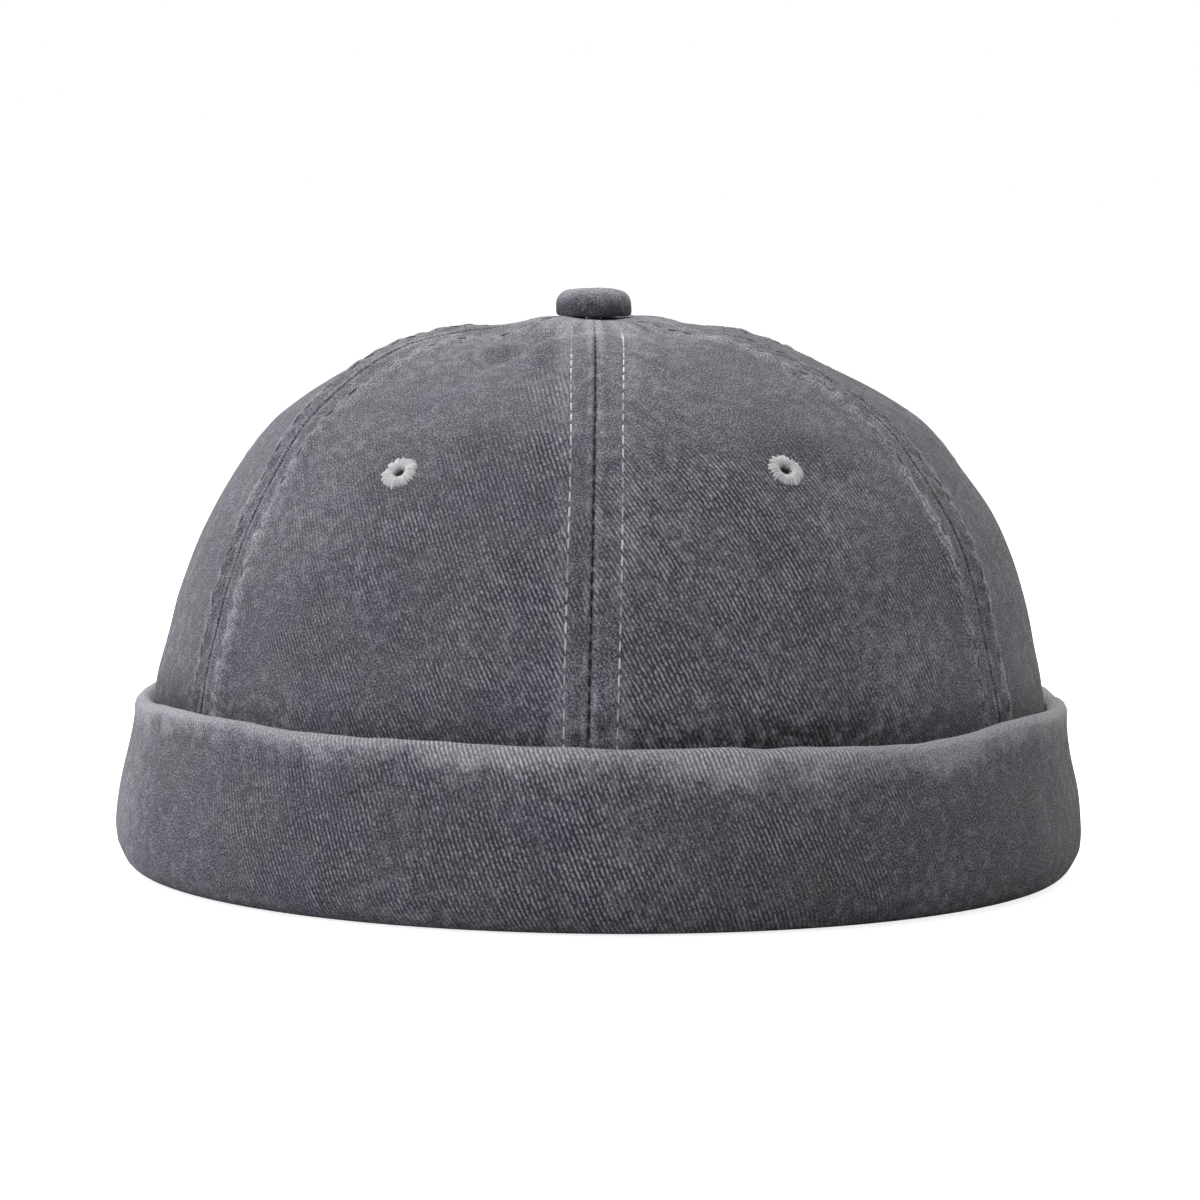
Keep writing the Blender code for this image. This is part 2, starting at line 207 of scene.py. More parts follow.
def linear(colour: str) -> tuple[float, float, float, float]:
    """Turn an sRGB hex colour into linear light.

    Args:
        colour: six hex digits after a hash mark.

    Returns:
        Red, green, blue and an alpha of one.
    """
    parts = [int(colour[at : at + 2], 16) / 255.0 for at in (1, 3, 5)]
    lit = [part / 12.92 if part <= 0.04045 else ((part + 0.055) / 1.055) ** 2.4 for part in parts]
    return (lit[0], lit[1], lit[2], 1.0)


def ease(value: np.ndarray, low: float, high: float) -> np.ndarray:
    """Rise smoothly from 0 at the low value to 1 at the high one.

    Args:
        value: the values to ease.
        low: where the rise begins.
        high: where it ends; below low, the result falls instead.

    Returns:
        Values from 0 to 1.
    """
    share = np.clip((value - low) / (high - low), 0.0, 1.0)
    return share * share * (3.0 - 2.0 * share)


def bell(value: np.ndarray, width: float) -> np.ndarray:
    """Return 1 at zero, falling off to either side over a width."""
    return np.exp(-((value / width) ** 2))


def lumps(places: np.ndarray, size: float, seed: float = 0.0) -> np.ndarray:
    """Give smooth noise from about -1 to 1 at places.

    Args:
        places: points in metres, with x, y, z last.
        size: how far apart the lumps stand, in metres.
        seed: an offset that gives another pattern.

    Returns:
        One value for each point.
    """
    points = places.reshape(-1, 3) / size + seed
    values = [noise.noise(Vector(point)) for point in points.tolist()]
    return np.array(values).reshape(places.shape[:-1])


def chance(index: int, seed: float) -> float:
    """Return a number from 0 to 1 that looks random and is the same on each run."""
    spun = math.sin(index * 12.9898 + seed) * 43758.5453
    return spun - math.floor(spun)


def swells(places: np.ndarray, rows: tuple) -> np.ndarray:
    """Add up the lumps of a table of relief, distance apart and seed."""
    return sum(relief * lumps(places, apart, seed) for relief, apart, seed in rows)


def smooth_rows(rows: tuple, steps: int = 16) -> np.ndarray:
    """Run a smooth curve through the rows of a table.

    Args:
        rows: pairs of numbers.
        steps: points to each row.

    Returns:
        The dense points of the curve, whose end lies level.
    """
    points = np.array(rows, dtype=float)
    before = np.vstack([2.0 * points[0] - points[1], points[:-1]])
    after = np.vstack([points[1:], 2.0 * points[-1] - points[-2]])
    after[-1] = (points[-1][0], -points[-2][1])
    slopes = (after - before) / 2.0
    dense = []
    for start, end, leave, arrive in zip(points[:-1], points[1:], slopes[:-1], slopes[1:]):
        for step in range(steps):
            t = step / steps
            dense.append(
                (2 * t**3 - 3 * t**2 + 1) * start
                + (t**3 - 2 * t**2 + t) * leave
                + (3 * t**2 - 2 * t**3) * end
                + (t**3 - t**2) * arrive
            )
    dense.append(points[-1])
    return np.array(dense)


def wrapped(turn: np.ndarray) -> np.ndarray:
    """Return turns as angles from minus half a turn to half a turn."""
    return (turn + math.pi) % (2.0 * math.pi) - math.pi


def run_length(points: np.ndarray) -> np.ndarray:
    """Return how far along a line of points each one lies."""
    steps = np.linalg.norm(np.diff(points, axis=0), axis=1)
    return np.concatenate([[0.0], np.cumsum(steps)])


def select_only(piece: bpy.types.Object) -> None:
    """Make one object the only one selected, and the active one."""
    bpy.ops.object.select_all(action="DESELECT")
    piece.select_set(True)
    bpy.context.view_layer.objects.active = piece


def apply_modifier(piece: bpy.types.Object, modifier: bpy.types.Modifier) -> None:
    """Apply one modifier of a piece."""
    select_only(piece)
    bpy.ops.object.modifier_apply(modifier=modifier.name)


def delete_faces(piece: bpy.types.Object, chosen: np.ndarray) -> None:
    """Delete the chosen faces of a piece in edit mode.

    Args:
        piece: the mesh object.
        chosen: one truth value for each face.
    """
    select_only(piece)
    bpy.ops.object.mode_set(mode="EDIT")
    bpy.ops.mesh.select_mode(type="FACE")
    bpy.ops.mesh.select_all(action="DESELECT")
    bpy.ops.object.mode_set(mode="OBJECT")
    piece.data.polygons.foreach_set("select", chosen)
    bpy.ops.object.mode_set(mode="EDIT")
    bpy.ops.mesh.delete(type="FACE")
    bpy.ops.object.mode_set(mode="OBJECT")


def merge_doubles(piece: bpy.types.Object, distance: float) -> None:
    """Merge the points of a piece that lie this close together."""
    select_only(piece)
    bpy.ops.object.mode_set(mode="EDIT")
    bpy.ops.mesh.select_all(action="SELECT")
    bpy.ops.mesh.remove_doubles(threshold=distance)
    bpy.ops.mesh.normals_make_consistent(inside=False)
    bpy.ops.object.mode_set(mode="OBJECT")


def place_points(piece: bpy.types.Object, points: np.ndarray) -> None:
    """Move the points of a piece's mesh."""
    piece.data.vertices.foreach_set("co", points.reshape(-1).astype(np.float32))
    piece.data.update()


def paint_points(piece: bpy.types.Object, name: str, values: np.ndarray) -> None:
    """Keep one number for each point of a piece, for its finish to read."""
    layer = piece.data.attributes.new(name, "FLOAT", "POINT")
    layer.data.foreach_set("value", values.reshape(-1).astype(np.float32))


def lay_uv(piece: bpy.types.Object, name: str, pairs: np.ndarray) -> None:
    """Lay one UV map over a piece.

    Args:
        piece: the mesh object.
        name: the map's name.
        pairs: u and v for each corner of each face, in metres.
    """
    layer = piece.data.uv_layers.new(name=name)
    layer.data.foreach_set("uv", pairs.reshape(-1).astype(np.float32))


def corner_points(piece: bpy.types.Object) -> np.ndarray:
    """Return the point that each corner of each face stands on."""
    corners = np.zeros(len(piece.data.loops), dtype=np.int32)
    piece.data.loops.foreach_get("vertex_index", corners)
    return corners


def take_new(name: str) -> bpy.types.Object:
    """Name the primitive that was just added, without its own UV maps."""
    piece = bpy.context.active_object
    piece.name = name
    piece.data.name = name
    for layer in list(piece.data.uv_layers):
        piece.data.uv_layers.remove(layer)
    return piece


def mesh_points(piece: bpy.types.Object) -> np.ndarray:
    """Return the points of a piece's mesh."""
    return np.array([vertex.co[:] for vertex in piece.data.vertices])


def dress(piece: bpy.types.Object, material: bpy.types.Material) -> None:
    """Give a piece its one material."""
    piece.data.materials.clear()
    piece.data.materials.append(material)


def shade_smooth(piece: bpy.types.Object) -> None:
    """Shade every face of a piece smooth."""
    piece.data.polygons.foreach_set("use_smooth", np.ones(len(piece.data.polygons), dtype=bool))


def add_node(
    tree: bpy.types.NodeTree, kind: str, inputs: dict[int | str, Feed] | None = None, **settings: object
) -> bpy.types.Node:
    """Add one shader node with its settings and links.

    Args:
        tree: the finish's node tree.
        kind: the node's type.
        inputs: for each input's name or place, a value or the output that feeds it.
        settings: the node's own properties.

    Returns:
        The new node.
    """
    node = tree.nodes.new(kind)
    for key, value in settings.items():
        setattr(node, key, value)
    for key, value in (inputs or {}).items():
        if isinstance(value, bpy.types.NodeSocket):
            tree.links.new(value, node.inputs[key])
        else:
            node.inputs[key].default_value = value
    return node


def new_finish(name: str) -> tuple[bpy.types.Material, bpy.types.NodeTree]:
    """Start a material with an empty node tree."""
    material = bpy.data.materials.new(name)
    material.use_nodes = True
    material.node_tree.nodes.clear()
    return material, material.node_tree


def object_places(tree: bpy.types.NodeTree) -> bpy.types.NodeSocket:
    """Return the places on the piece in metres, as the shader reads them."""
    return add_node(tree, "ShaderNodeTexCoord").outputs["Object"]


def painted(tree: bpy.types.NodeTree, name: str) -> bpy.types.NodeSocket:
    """Return the number that was kept under a name for each point of the piece."""
    return add_node(tree, "ShaderNodeAttribute", attribute_name=name).outputs["Fac"]


def spread(
    tree: bpy.types.NodeTree,
    value: bpy.types.NodeSocket,
    given: tuple[float, float],
    wanted: tuple[float, float],
) -> bpy.types.NodeSocket:
    """Spread one range of values over another, held at its ends.

    Args:
        tree: the finish's node tree.
        value: the output to spread.
        given: the range that it comes in.
        wanted: the range that it goes out in.

    Returns:
        The spread value.
    """
    ends = dict(enumerate((*given, *wanted), start=1))
    return add_node(tree, "ShaderNodeMapRange", {"Value": value, **ends}).outputs[0]


def combine(
    tree: bpy.types.NodeTree, operation: str, *values: Feed, clamp: bool = False
) -> bpy.types.NodeSocket:
    """Work out one sum, product or the like.

    Args:
        tree: the finish's node tree.
        operation: the node's own name for it.
        values: numbers or outputs.
        clamp: whether the result is held from 0 to 1.

    Returns:
        The result.
    """
    inputs = dict(enumerate(values))
    return add_node(tree, "ShaderNodeMath", inputs, operation=operation, use_clamp=clamp).outputs[0]


def clouds(
    tree: bpy.types.NodeTree,
    places: bpy.types.NodeSocket,
    scale: float,
    detail: float,
    rough: float,
    flat: bool = False,
) -> bpy.types.NodeSocket:
    """Draw cloudy noise.

    Args:
        tree: the finish's node tree.
        places: where on the piece.
        scale: clouds to each unit of the places.
        detail: how many finer layers it has.
        rough: how strong each finer layer is.
        flat: whether the places lie on the cloth's own map.

    Returns:
        The noise, nearly all of it in NOISE_RANGE.
    """
    inputs = {"Vector": places, "Scale": scale, "Detail": detail, "Roughness": rough}
    kind = "2D" if flat else "3D"
    return add_node(tree, "ShaderNodeTexNoise", inputs, noise_dimensions=kind).outputs[0]


def blend(
    tree: bpy.types.NodeTree, share: Feed, first: Feed, second: Feed, kind: str = "MIX"
) -> bpy.types.NodeSocket:
    """Mix two colours.

    Args:
        tree: the finish's node tree.
        share: how much of the second there is, a number or an output.
        first: the first colour, or the output that gives it.
        second: the second colour, or the output that gives it.
        kind: how they are mixed.

    Returns:
        The mixed colour.
    """
    inputs = {0: share, 6: first, 7: second}
    return add_node(tree, "ShaderNodeMix", inputs, data_type="RGBA", blend_type=kind).outputs[2]


def lighten(tree: bpy.types.NodeTree, colour: Feed, level: Feed) -> bpy.types.NodeSocket:
    """Return a colour, or an output that gives one, times a level."""
    inputs = {0: colour, "Scale": level}
    return add_node(tree, "ShaderNodeVectorMath", inputs, operation="SCALE").outputs[0]


def raise_relief(
    tree: bpy.types.NodeTree, height: bpy.types.NodeSocket, strength: float, distance: float
) -> bpy.types.NodeSocket:
    """Return the bumped normal for a height, its strength, and its depth in metres."""
    inputs = {"Strength": strength, "Distance": distance, "Height": height}
    return add_node(tree, "ShaderNodeBump", inputs).outputs[0]


def shade(tree: bpy.types.NodeTree, sockets: dict[str, Feed]) -> None:
    """End a finish with the principled shader and its sockets."""
    shader = add_node(tree, "ShaderNodeBsdfPrincipled", sockets)
    add_node(tree, "ShaderNodeOutputMaterial", {0: shader.outputs[0]})


@dataclass(frozen=True)
class WashedTwill:
    """Cotton 3/1 twill, piece-dyed dark grey, then stone-washed.

    The eye sees lighter warp ribs that lean to the left of the cloth's length, broken into
    short flecks, over a darker ground; where the cloth stood proud in the wash it is rubbed
    pale, and it is matt with a soft fuzz. Sizes are in mm on the cloth, and the scales of the
    dye's drift are per metre. The ribs are as coarse as the real cloth shows them.
    """

    name: str
    groove: str = "#37363c"
    ground: str = "#55545b"
    rib: str = "#75747b"
    fleck: str = "#adacb2"
    worn: str = "#b3b2b7"
    cool: str = "#e8eaff"
    warm: str = "#fffeee"
    # painted shade: the near-black of a seam's ditch
    ditch_shade: str = "#0b0b0e"
    rib_spacing: float = 0.84
    rib_lean: float = 22.0
    fleck_across: float = 0.62
    fleck_along: float = 0.70
    fuzz_scale: float = 2.7
    brush_scale: float = 0.09
    rub_patch: float = 2.6
    stitch_pitch: float = 3.2
    tint_scale: float = 55.0
    depth_scale: float = 150.0
    relief: float = 0.16

    def weave(self, tree: bpy.types.NodeTree) -> tuple[bpy.types.NodeSocket, bpy.types.NodeSocket]:
        """Draw the ribs, flecks and fuzz in the cloth's own map.

        Args:
            tree: the finish's node tree.

        Returns:
            The output that gives how light the weave is, and the one for places in mm.
        """
        cloth = add_node(tree, "ShaderNodeUVMap", uv_map="cloth").outputs[0]
        lean = (0.0, 0.0, -math.radians(self.rib_lean))
        turned = {"Vector": cloth, "Rotation": lean, "Scale": (1000.0, 1000.0, 1000.0)}
        places = add_node(tree, "ShaderNodeMapping", turned).outputs[0]
        bands = {
            "Vector": places,
            "Scale": ONE_BAND / self.rib_spacing,
            "Distortion": 2.0,
            "Detail": 2.0,
            "Detail Scale": 1.3,
            "Detail Roughness": 0.6,
        }
        ribs = add_node(tree, "ShaderNodeTexWave", bands, wave_type="BANDS", bands_direction="X")
        shares = (1.0 / self.fleck_across, 1.0 / self.fleck_along, 1.0)
        stretched = add_node(tree, "ShaderNodeMapping", {"Vector": places, "Scale": shares}).outputs[0]
        broken = spread(tree, clouds(tree, stretched, 1.0, 2.0, 0.6, flat=True), (0.32, 0.68), (0.25, 1.6))
        lit = combine(tree, "MULTIPLY", ribs.outputs["Fac"], broken)
        fuzz = clouds(tree, places, self.fuzz_scale, 3.0, 0.75, flat=True)
        fuzz = spread(tree, fuzz, NOISE_RANGE, (-0.10, 1.08))
        brushed = clouds(tree, places, self.brush_scale, 2.0, 0.5, flat=True)
        brushed = spread(tree, brushed, (0.35, 0.65), (0.26, 0.58))
        share = combine(tree, "ADD", painted(tree, "nap"), brushed, clamp=True)
        woven = add_node(tree, "ShaderNodeMix", {0: share, 2: lit, 3: fuzz}, data_type="FLOAT")
        return woven.outputs[0], places

    def mottle(self, tree: bpy.types.NodeTree, colour: bpy.types.NodeSocket) -> bpy.types.NodeSocket:
        """Let the dye drift in depth and tint over a hand's breadth of cloth.

        Args:
            tree: the finish's node tree.
            colour: the woven colour.

        Returns:
            The mottled colour, darkened with painted shade where the painted shade attribute is high.
        """
        spot = object_places(tree)
        drift = clouds(tree, spot, self.tint_scale, 3.0, 0.55)
        tint = blend(tree, drift, linear(self.cool), linear(self.warm))
        tinted = blend(tree, 1.0, colour, tint, "MULTIPLY")
        depth = clouds(tree, spot, self.depth_scale, 5.0, 0.68)
        level = spread(tree, depth, NOISE_RANGE, (0.82, 1.24))
        # painted shade: darken the colour by the painted shade attribute
        kept = combine(tree, "SUBTRACT", 1.0, painted(tree, "painted_shade"))
        return lighten(tree, lighten(tree, tinted, level), kept)

    def rub(
        self,
        tree: bpy.types.NodeTree,
        colour: bpy.types.NodeSocket,
        weave: bpy.types.NodeSocket,
        places: bpy.types.NodeSocket,
    ) -> bpy.types.NodeSocket:
        """Rub the cloth pale in broken patches where the wear attribute is high.

        Args:
            tree: the finish's node tree.
            colour: the dyed colour.
            weave: how light the weave is.
            places: places on the cloth in mm.

        Returns:
            The rubbed colour.
        """
        patches = clouds(tree, places, 1.0 / self.rub_patch, 3.0, 0.7, flat=True)
        uneven = spread(tree, patches, NOISE_RANGE, (-0.28, 0.28))
        worn = combine(tree, "ADD", painted(tree, "wear"), uneven)
        amount = spread(tree, worn, (0.05, 1.05), (0.0, 0.9))
        grain = spread(tree, weave, (0.0, 1.0), (0.30, 1.68))
        pale = lighten(tree, linear(self.worn)[:3], grain)
        return blend(tree, amount, colour, pale)

    def paint_ditch_shade(self, tree: bpy.types.NodeTree, colour: bpy.types.NodeSocket) -> bpy.types.NodeSocket:
        """Paint shade into the ditch of a seam in dashes, darkest where each stitch pulls it shut.

        Args:
            tree: the finish's node tree.
            colour: the cloth's colour.

        Returns:
            The colour with the painted shade of the ditch in it, which fades out below the button.
        """
        seam = add_node(tree, "ShaderNodeUVMap", uv_map="seam").outputs[0]
        parts = add_node(tree, "ShaderNodeSeparateXYZ", {0: seam})
        near, along = parts.outputs[0], parts.outputs[1]
        ditch_shade = spread(tree, near, (0.08 * MM, 0.38 * MM), (1.0, 0.0))
        faded = spread(tree, along, (134.0 * MM, 146.0 * MM), (1.0, 0.22))
        phase = combine(tree, "MULTIPLY", along, 2.0 * math.pi / (self.stitch_pitch * MM))
        dash = spread(tree, combine(tree, "SINE", phase), (-0.7, -0.2), (0.12, 0.97))
        dark = combine(tree, "MULTIPLY", combine(tree, "MULTIPLY", ditch_shade, faded), dash)
        return blend(tree, dark, colour, linear(self.ditch_shade))

    def build(self, seamed: bool = True) -> bpy.types.Material:
        """Make the material.

        Args:
            seamed: whether the piece has a seam map for the ditch.

        Returns:
            The material.
        """
        material, tree = new_finish(self.name)
        weave, places = self.weave(tree)
        ramp = add_node(tree, "ShaderNodeValToRGB", {0: weave})
        stops = ramp.color_ramp.elements
        stops[0].position = 0.08
        stops[0].color = linear(self.groove)
        stops[1].position = 0.98
        stops[1].color = linear(self.fleck)
        stops.new(0.36).color = linear(self.ground)
        stops.new(0.62).color = linear(self.rib)
        colour = self.rub(tree, self.mottle(tree, ramp.outputs[0]), weave, places)
        if seamed:
            colour = self.paint_ditch_shade(tree, colour)
        shade(tree, {
            "Base Color": colour,
            "Roughness": spread(tree, weave, (0.0, 1.0), (0.99, 0.88)),
            "Normal": raise_relief(tree, weave, 0.75, self.relief * MM),
            "Diffuse Roughness": 0.8,
            "Specular IOR Level": 0.2,
            "Sheen Weight": 0.12,
            "Sheen Roughness": 0.5,
        })
        return material


@dataclass(frozen=True)
class CottonThread:
    """Spun cotton sewing thread, two-ply, greyed by the wash.

    The eye sees a pale matt strand with a fine twist, each length a little lighter or
    darker than the next. The ply is in mm.
    """

    name: str
    colour: str
    ply: float = 0.45
    relief: float = 0.05

    def build(self) -> bpy.types.Material:
        """Make the material from the thread's tone and twist."""
        material, tree = new_finish(self.name)
        fibres = clouds(tree, object_places(tree), 1000.0 / self.ply, 3.0, 0.7)
        speck = spread(tree, fibres, NOISE_RANGE, (0.78, 1.15))
        level = combine(tree, "MULTIPLY", painted(tree, "tone"), speck)
        shade(tree, {
            "Base Color": lighten(tree, linear(self.colour)[:3], level),
            "Roughness": 0.85,
            "Normal": raise_relief(tree, fibres, 0.5, self.relief * MM),
            "Specular IOR Level": 0.3,
            "Sheen Weight": 0.1,
        })
        return material


@dataclass(frozen=True)
class RivetSteel:
    """Cold-headed mild steel, nickel-flashed and tumbled.

    The eye sees a dull grey metal with a faint grain, 0.4 mm across, and soft highlights.
    """

    name: str = "rivet_steel"
    colour: str = "#b3b3b5"
    grain: float = 0.4

    def build(self) -> bpy.types.Material:
        """Make the material with a tumbled grain."""
        material, tree = new_finish(self.name)
        grain = clouds(tree, object_places(tree), 1000.0 / self.grain, 3.0, 0.6)
        level = spread(tree, grain, NOISE_RANGE, (0.8, 1.05))
        shade(tree, {
            "Base Color": lighten(tree, linear(self.colour)[:3], level),
            "Roughness": spread(tree, grain, NOISE_RANGE, (0.3, 0.45)),
            "Metallic": 1.0,
        })
        return material


@dataclass
class CrownForm:
    """The crown's outer face: its dome, seams, folds and the lie of washed cloth."""

    half_width: float = 89.0 * MM
    half_length: float = 102.4 * MM
    top: float = 107.5 * MM
    lean: float = -2.0 * MM
    cloth: float = 1.2 * MM
    seam_band: float = 5.2 * MM
    seam_lift: float = 0.5 * MM
    seam_ditch: float = 0.75 * MM
    seam_slope: float = 2.2 * MM
    ditch_width: float = 0.37 * MM
    seam_start: float = 11.0 * MM
    seam_full: float = 33.0 * MM
    eyelet_dimple: float = 0.7 * MM
    eyelet_reach: float = 6.0 * MM
    fold_relief: float = 2.0 * MM
    fold_through: float = 12.0 * MM
    hidden_height: float = 24.0 * MM
    fade_height: float = 12.0 * MM
    stitch_pitch: float = 3.2 * MM
    pucker_pitch: float = 5.2 * MM
    pucker_relief: float = 0.40 * MM
    rope_lift: float = 0.40 * MM
    rope_out: float = 0.9 * MM
    rope_width: float = 1.3 * MM
    stitch_dent: float = 0.18 * MM
    stitch_width: float = 0.34 * MM
    top_tent: float = 0.85 * MM
    gather_relief: float = 1.0 * MM
    curve_z: np.ndarray = field(init=False)
    curve_r: np.ndarray = field(init=False)
    curve_s: np.ndarray = field(init=False)
    arc: float = field(init=False)
    folds: list = field(init=False)
    eyelets: list = field(init=False)

    def __post_init__(self) -> None:
        """Work out the dome's curve and where folds and eyelets stand on it."""
        curve = smooth_rows(CROWN_PROFILE)
        self.curve_z = curve[:, 0] * self.top
        self.curve_r = curve[:, 1]
        length = run_length(np.stack([self.curve_z, self.curve_r * self.half_width], axis=-1))
        self.arc = float(length[-1])
        self.curve_s = length / self.arc
        self.folds = []
        for turn, height, slant, long, wide, lift in CROWN_FOLDS:
            angle = np.array(math.radians(turn))
            climb = np.array(self.climb_at_height(height * self.top))
            normal, up = self.frame(angle, climb)
            turned = Matrix.Rotation(math.radians(slant), 3, Vector(normal))
            along = np.array(turned @ Vector(up))
            across = np.cross(normal, along)
            size = (long * self.top, wide * self.top, lift * self.fold_relief)
            self.folds.append((self.base(angle, climb), along, across, *size))
        self.eyelets = [
            self.base(
                np.array(math.radians(cut.eyelet_turn)),
                np.array(self.climb_at_height(cut.eyelet_height)),
            )
            for cut in GORE_CUTS
        ]

    def climb_at_height(self, height: float) -> float:
        """Return the climb at which the face stands at a height."""
        return float(np.interp(height, self.curve_z, self.curve_s))

    def climb_at_radius(self, radius: float) -> float:
        """Return the climb at which the face is this far from the axis."""
        return float(np.interp(-radius / self.half_width, -self.curve_r, self.curve_s))

    def base(self, turn: np.ndarray, climb: np.ndarray) -> np.ndarray:
        """Return points of the face before seams and folds.

        Args:
            turn: angles round the crown.
            climb: shares of the way up.

        Returns:
            Points with x, y, z last.
        """
        share = np.interp(climb, self.curve_s, self.curve_r)
        height = np.interp(climb, self.curve_s, self.curve_z)
        aside = self.lean * (1.0 - share) + self.half_width * share * np.sin(turn)
        ahead = -self.half_length * share * np.cos(turn)
        return np.stack(np.broadcast_arrays(aside, ahead, height), axis=-1)

    def frame(self, turn: np.ndarray, climb: np.ndarray) -> tuple[np.ndarray, np.ndarray]:
        """Return the outward normals and the ways up the face."""
        step = 0.004
        low = np.maximum(climb - step, 0.0)
        high = np.minimum(climb + step, 0.999)
        up = self.base(turn, high) - self.base(turn, low)
        side = self.base(turn + step, climb) - self.base(turn - step, climb)
        normal = np.cross(side, up)
        normal = normal / np.linalg.norm(normal, axis=-1, keepdims=True)
        return normal, up / np.linalg.norm(up, axis=-1, keepdims=True)

    def reach(self, turn: np.ndarray, climb: np.ndarray) -> np.ndarray:
        """Return how far one radian goes round the crown at places."""
        step = 0.01
        gone = self.base(turn + step, climb) - self.base(turn - step, climb)
        return np.linalg.norm(gone, axis=-1) / (2.0 * step)

    def seam_turn(self, seam: Seam, climb: np.ndarray) -> np.ndarray:
        """Return a seam's turn at climbs."""
        work = SEAMS[seam]
        return np.radians(work.foot_turn + (work.top_turn - work.foot_turn) * climb)

    def seam_fields(self, turn: np.ndarray, climb: np.ndarray) -> dict[str, np.ndarray]:
        """Measure places against their nearest seam.

        Args:
            turn: angles round the crown.
            climb: shares of the way up.

        Returns:
            For each place: near, the distance to the ditch; row, the distance of the
            topstitching on its side; and the seam's pucker and raised shares.
        """
        reach = self.reach(turn, climb)
        near = np.full(np.broadcast(turn, climb).shape, 1.0e3)
        row = np.zeros_like(near)
        pucker = np.zeros_like(near)
        raised = np.zeros_like(near)
        for seam, work in SEAMS.items():
            gone = wrapped(turn - self.seam_turn(seam, climb)) * reach
            closer = np.abs(gone) < near
            near = np.where(closer, np.abs(gone), near)
            side = np.where(gone < 0.0, work.row_before, work.row_after)
            row = np.where(closer, side, row)
            pucker = np.where(closer, work.pucker, pucker)
            raised = np.where(closer, work.raised, raised)
        return {"near": near, "row": row, "pucker": pucker, "raised": raised, "reach": reach}

    def sway(self, place: np.ndarray) -> np.ndarray:
        """Return how far the roped edge of a seam wanders aside at places."""
        return 0.9 * MM * lumps(place, 15.0 * MM, 4.9)

    def twist(self, place: np.ndarray, along: np.ndarray) -> np.ndarray:
        """Return how full the roped edge is at places, about 0.2 to 1.3."""
        turns = 2.0 * math.pi * along / (1.25 * self.stitch_pitch)
        turns = turns + 4.5 * lumps(place, 8.0 * MM, 7.1)
        return 0.70 + 0.14 * np.sin(turns) + 0.55 * lumps(place, 13.0 * MM, 9.6)

    def lift(self, place: np.ndarray, turn: np.ndarray, climb: np.ndarray) -> np.ndarray:
        """Return how far seams, folds and the cloth's lie lift the face at places."""
        seams = self.seam_fields(turn, climb)
        near, reach = seams["near"], seams["reach"]
        weight = np.clip((reach - self.seam_start) / (self.seam_full - self.seam_start), 0.0, 1.0)
        sewn = ease(reach, 6.0 * MM, 12.0 * MM)
        band = ease(near, self.seam_band + self.seam_slope, self.seam_band)
        along = climb * self.arc
        stitch = 2.0 * math.pi * along / self.stitch_pitch
        # the pressed band, the ditch, the roped edge and the dents of the topstitching
        rise = weight * self.seam_lift * seams["raised"] * band
        shut = (0.15 + 0.85 * weight) * (0.72 + 0.28 * np.sin(stitch))
        rise = rise - shut * self.seam_ditch * bell(near, self.ditch_width)
        rope = bell(near - seams["row"] - self.rope_out - self.sway(place), self.rope_width)
        rise = rise + weight * self.rope_lift * seams["pucker"] * rope * self.twist(place, along)
        pulled = sewn * (0.75 + 0.25 * np.cos(stitch))
        rise = rise - pulled * self.stitch_dent * bell(near - seams["row"], self.stitch_width)
        # puckers that run aslant beside the seam
        sway = lumps(place, 9.0 * MM, 3.1)
        phase = 2.0 * math.pi * (along + 0.75 * near) / self.pucker_pitch + 2.6 * sway
        held = ease(near, 0.5 * MM, 2.2 * MM) * ease(near, 9.0 * MM, 4.5 * MM)
        patch = 0.75 + 0.7 * lumps(place, 21.0 * MM, 8.4)
        pucker = self.pucker_relief * seams["pucker"] * held * patch * np.sin(phase)
        rise = rise + weight * pucker
        # the cloth's own lumps, then the tent, the ring dent and the gathers under the button
        rise = rise + swells(place, CROWN_SWELLS)
        round_top = np.stack(
            np.broadcast_arrays(2.6 * np.sin(turn), 2.6 * np.cos(turn), reach / (30.0 * MM)),
            axis=-1,
        )
        rise = rise + self.top_tent * bell(reach - 11.5 * MM, 6.5 * MM)
        rise = rise - 0.85 * self.top_tent * bell(reach - 25.0 * MM, 8.0 * MM)
        gathered = bell(reach - 17.0 * MM, 9.0 * MM)
        rise = rise + self.gather_relief * gathered * lumps(round_top, 1.0, 6.6)
        for centre, length, across, long, wide, height in self.folds:
            gone = place - centre
            first = gone @ length
            second = gone @ across
            rest = np.maximum((gone * gone).sum(-1) - first**2 - second**2, 0.0)
            far = (first / long) ** 2 + (second / wide) ** 2 + rest / self.fold_through**2
            rise = rise + height * np.exp(-far)
        for centre in self.eyelets:
            gone = np.linalg.norm(place - centre, axis=-1)
            rise = rise - self.eyelet_dimple * bell(gone, self.eyelet_reach)
        shown = np.clip((place[..., 2] - self.hidden_height) / self.fade_height, 0.0, 1.0)
        return rise * shown

    def skin(self, turn: np.ndarray, climb: np.ndarray) -> np.ndarray:
        """Return points of the finished outer face."""
        place = self.base(turn, climb)
        normal, _ = self.frame(turn, climb)
        return place + normal * self.lift(place, turn, climb)[..., None]

    def wear(self, place: np.ndarray, turn: np.ndarray, climb: np.ndarray) -> np.ndarray:
        """Return how far the wash has rubbed the cloth pale at places, 0 to about 1."""
        seams = self.seam_fields(turn, climb)
        near, reach = seams["near"], seams["reach"]
        weight = ease(reach, 8.0 * MM, 30.0 * MM)
        # the roped edges of the seam bands and the lips of the ditch
        edge = 0.80 * bell(near - seams["row"] - 1.0 * MM - self.sway(place), 1.6 * MM)
        edge = edge * (0.2 + 0.8 * seams["pucker"]) * self.twist(place, climb * self.arc)
        lips = 0.34 * bell(near - 0.95 * MM, 0.55 * MM) * (0.9 + 1.9 * lumps(place, 4.0 * MM, 6.1))
        worn = weight * edge + lips
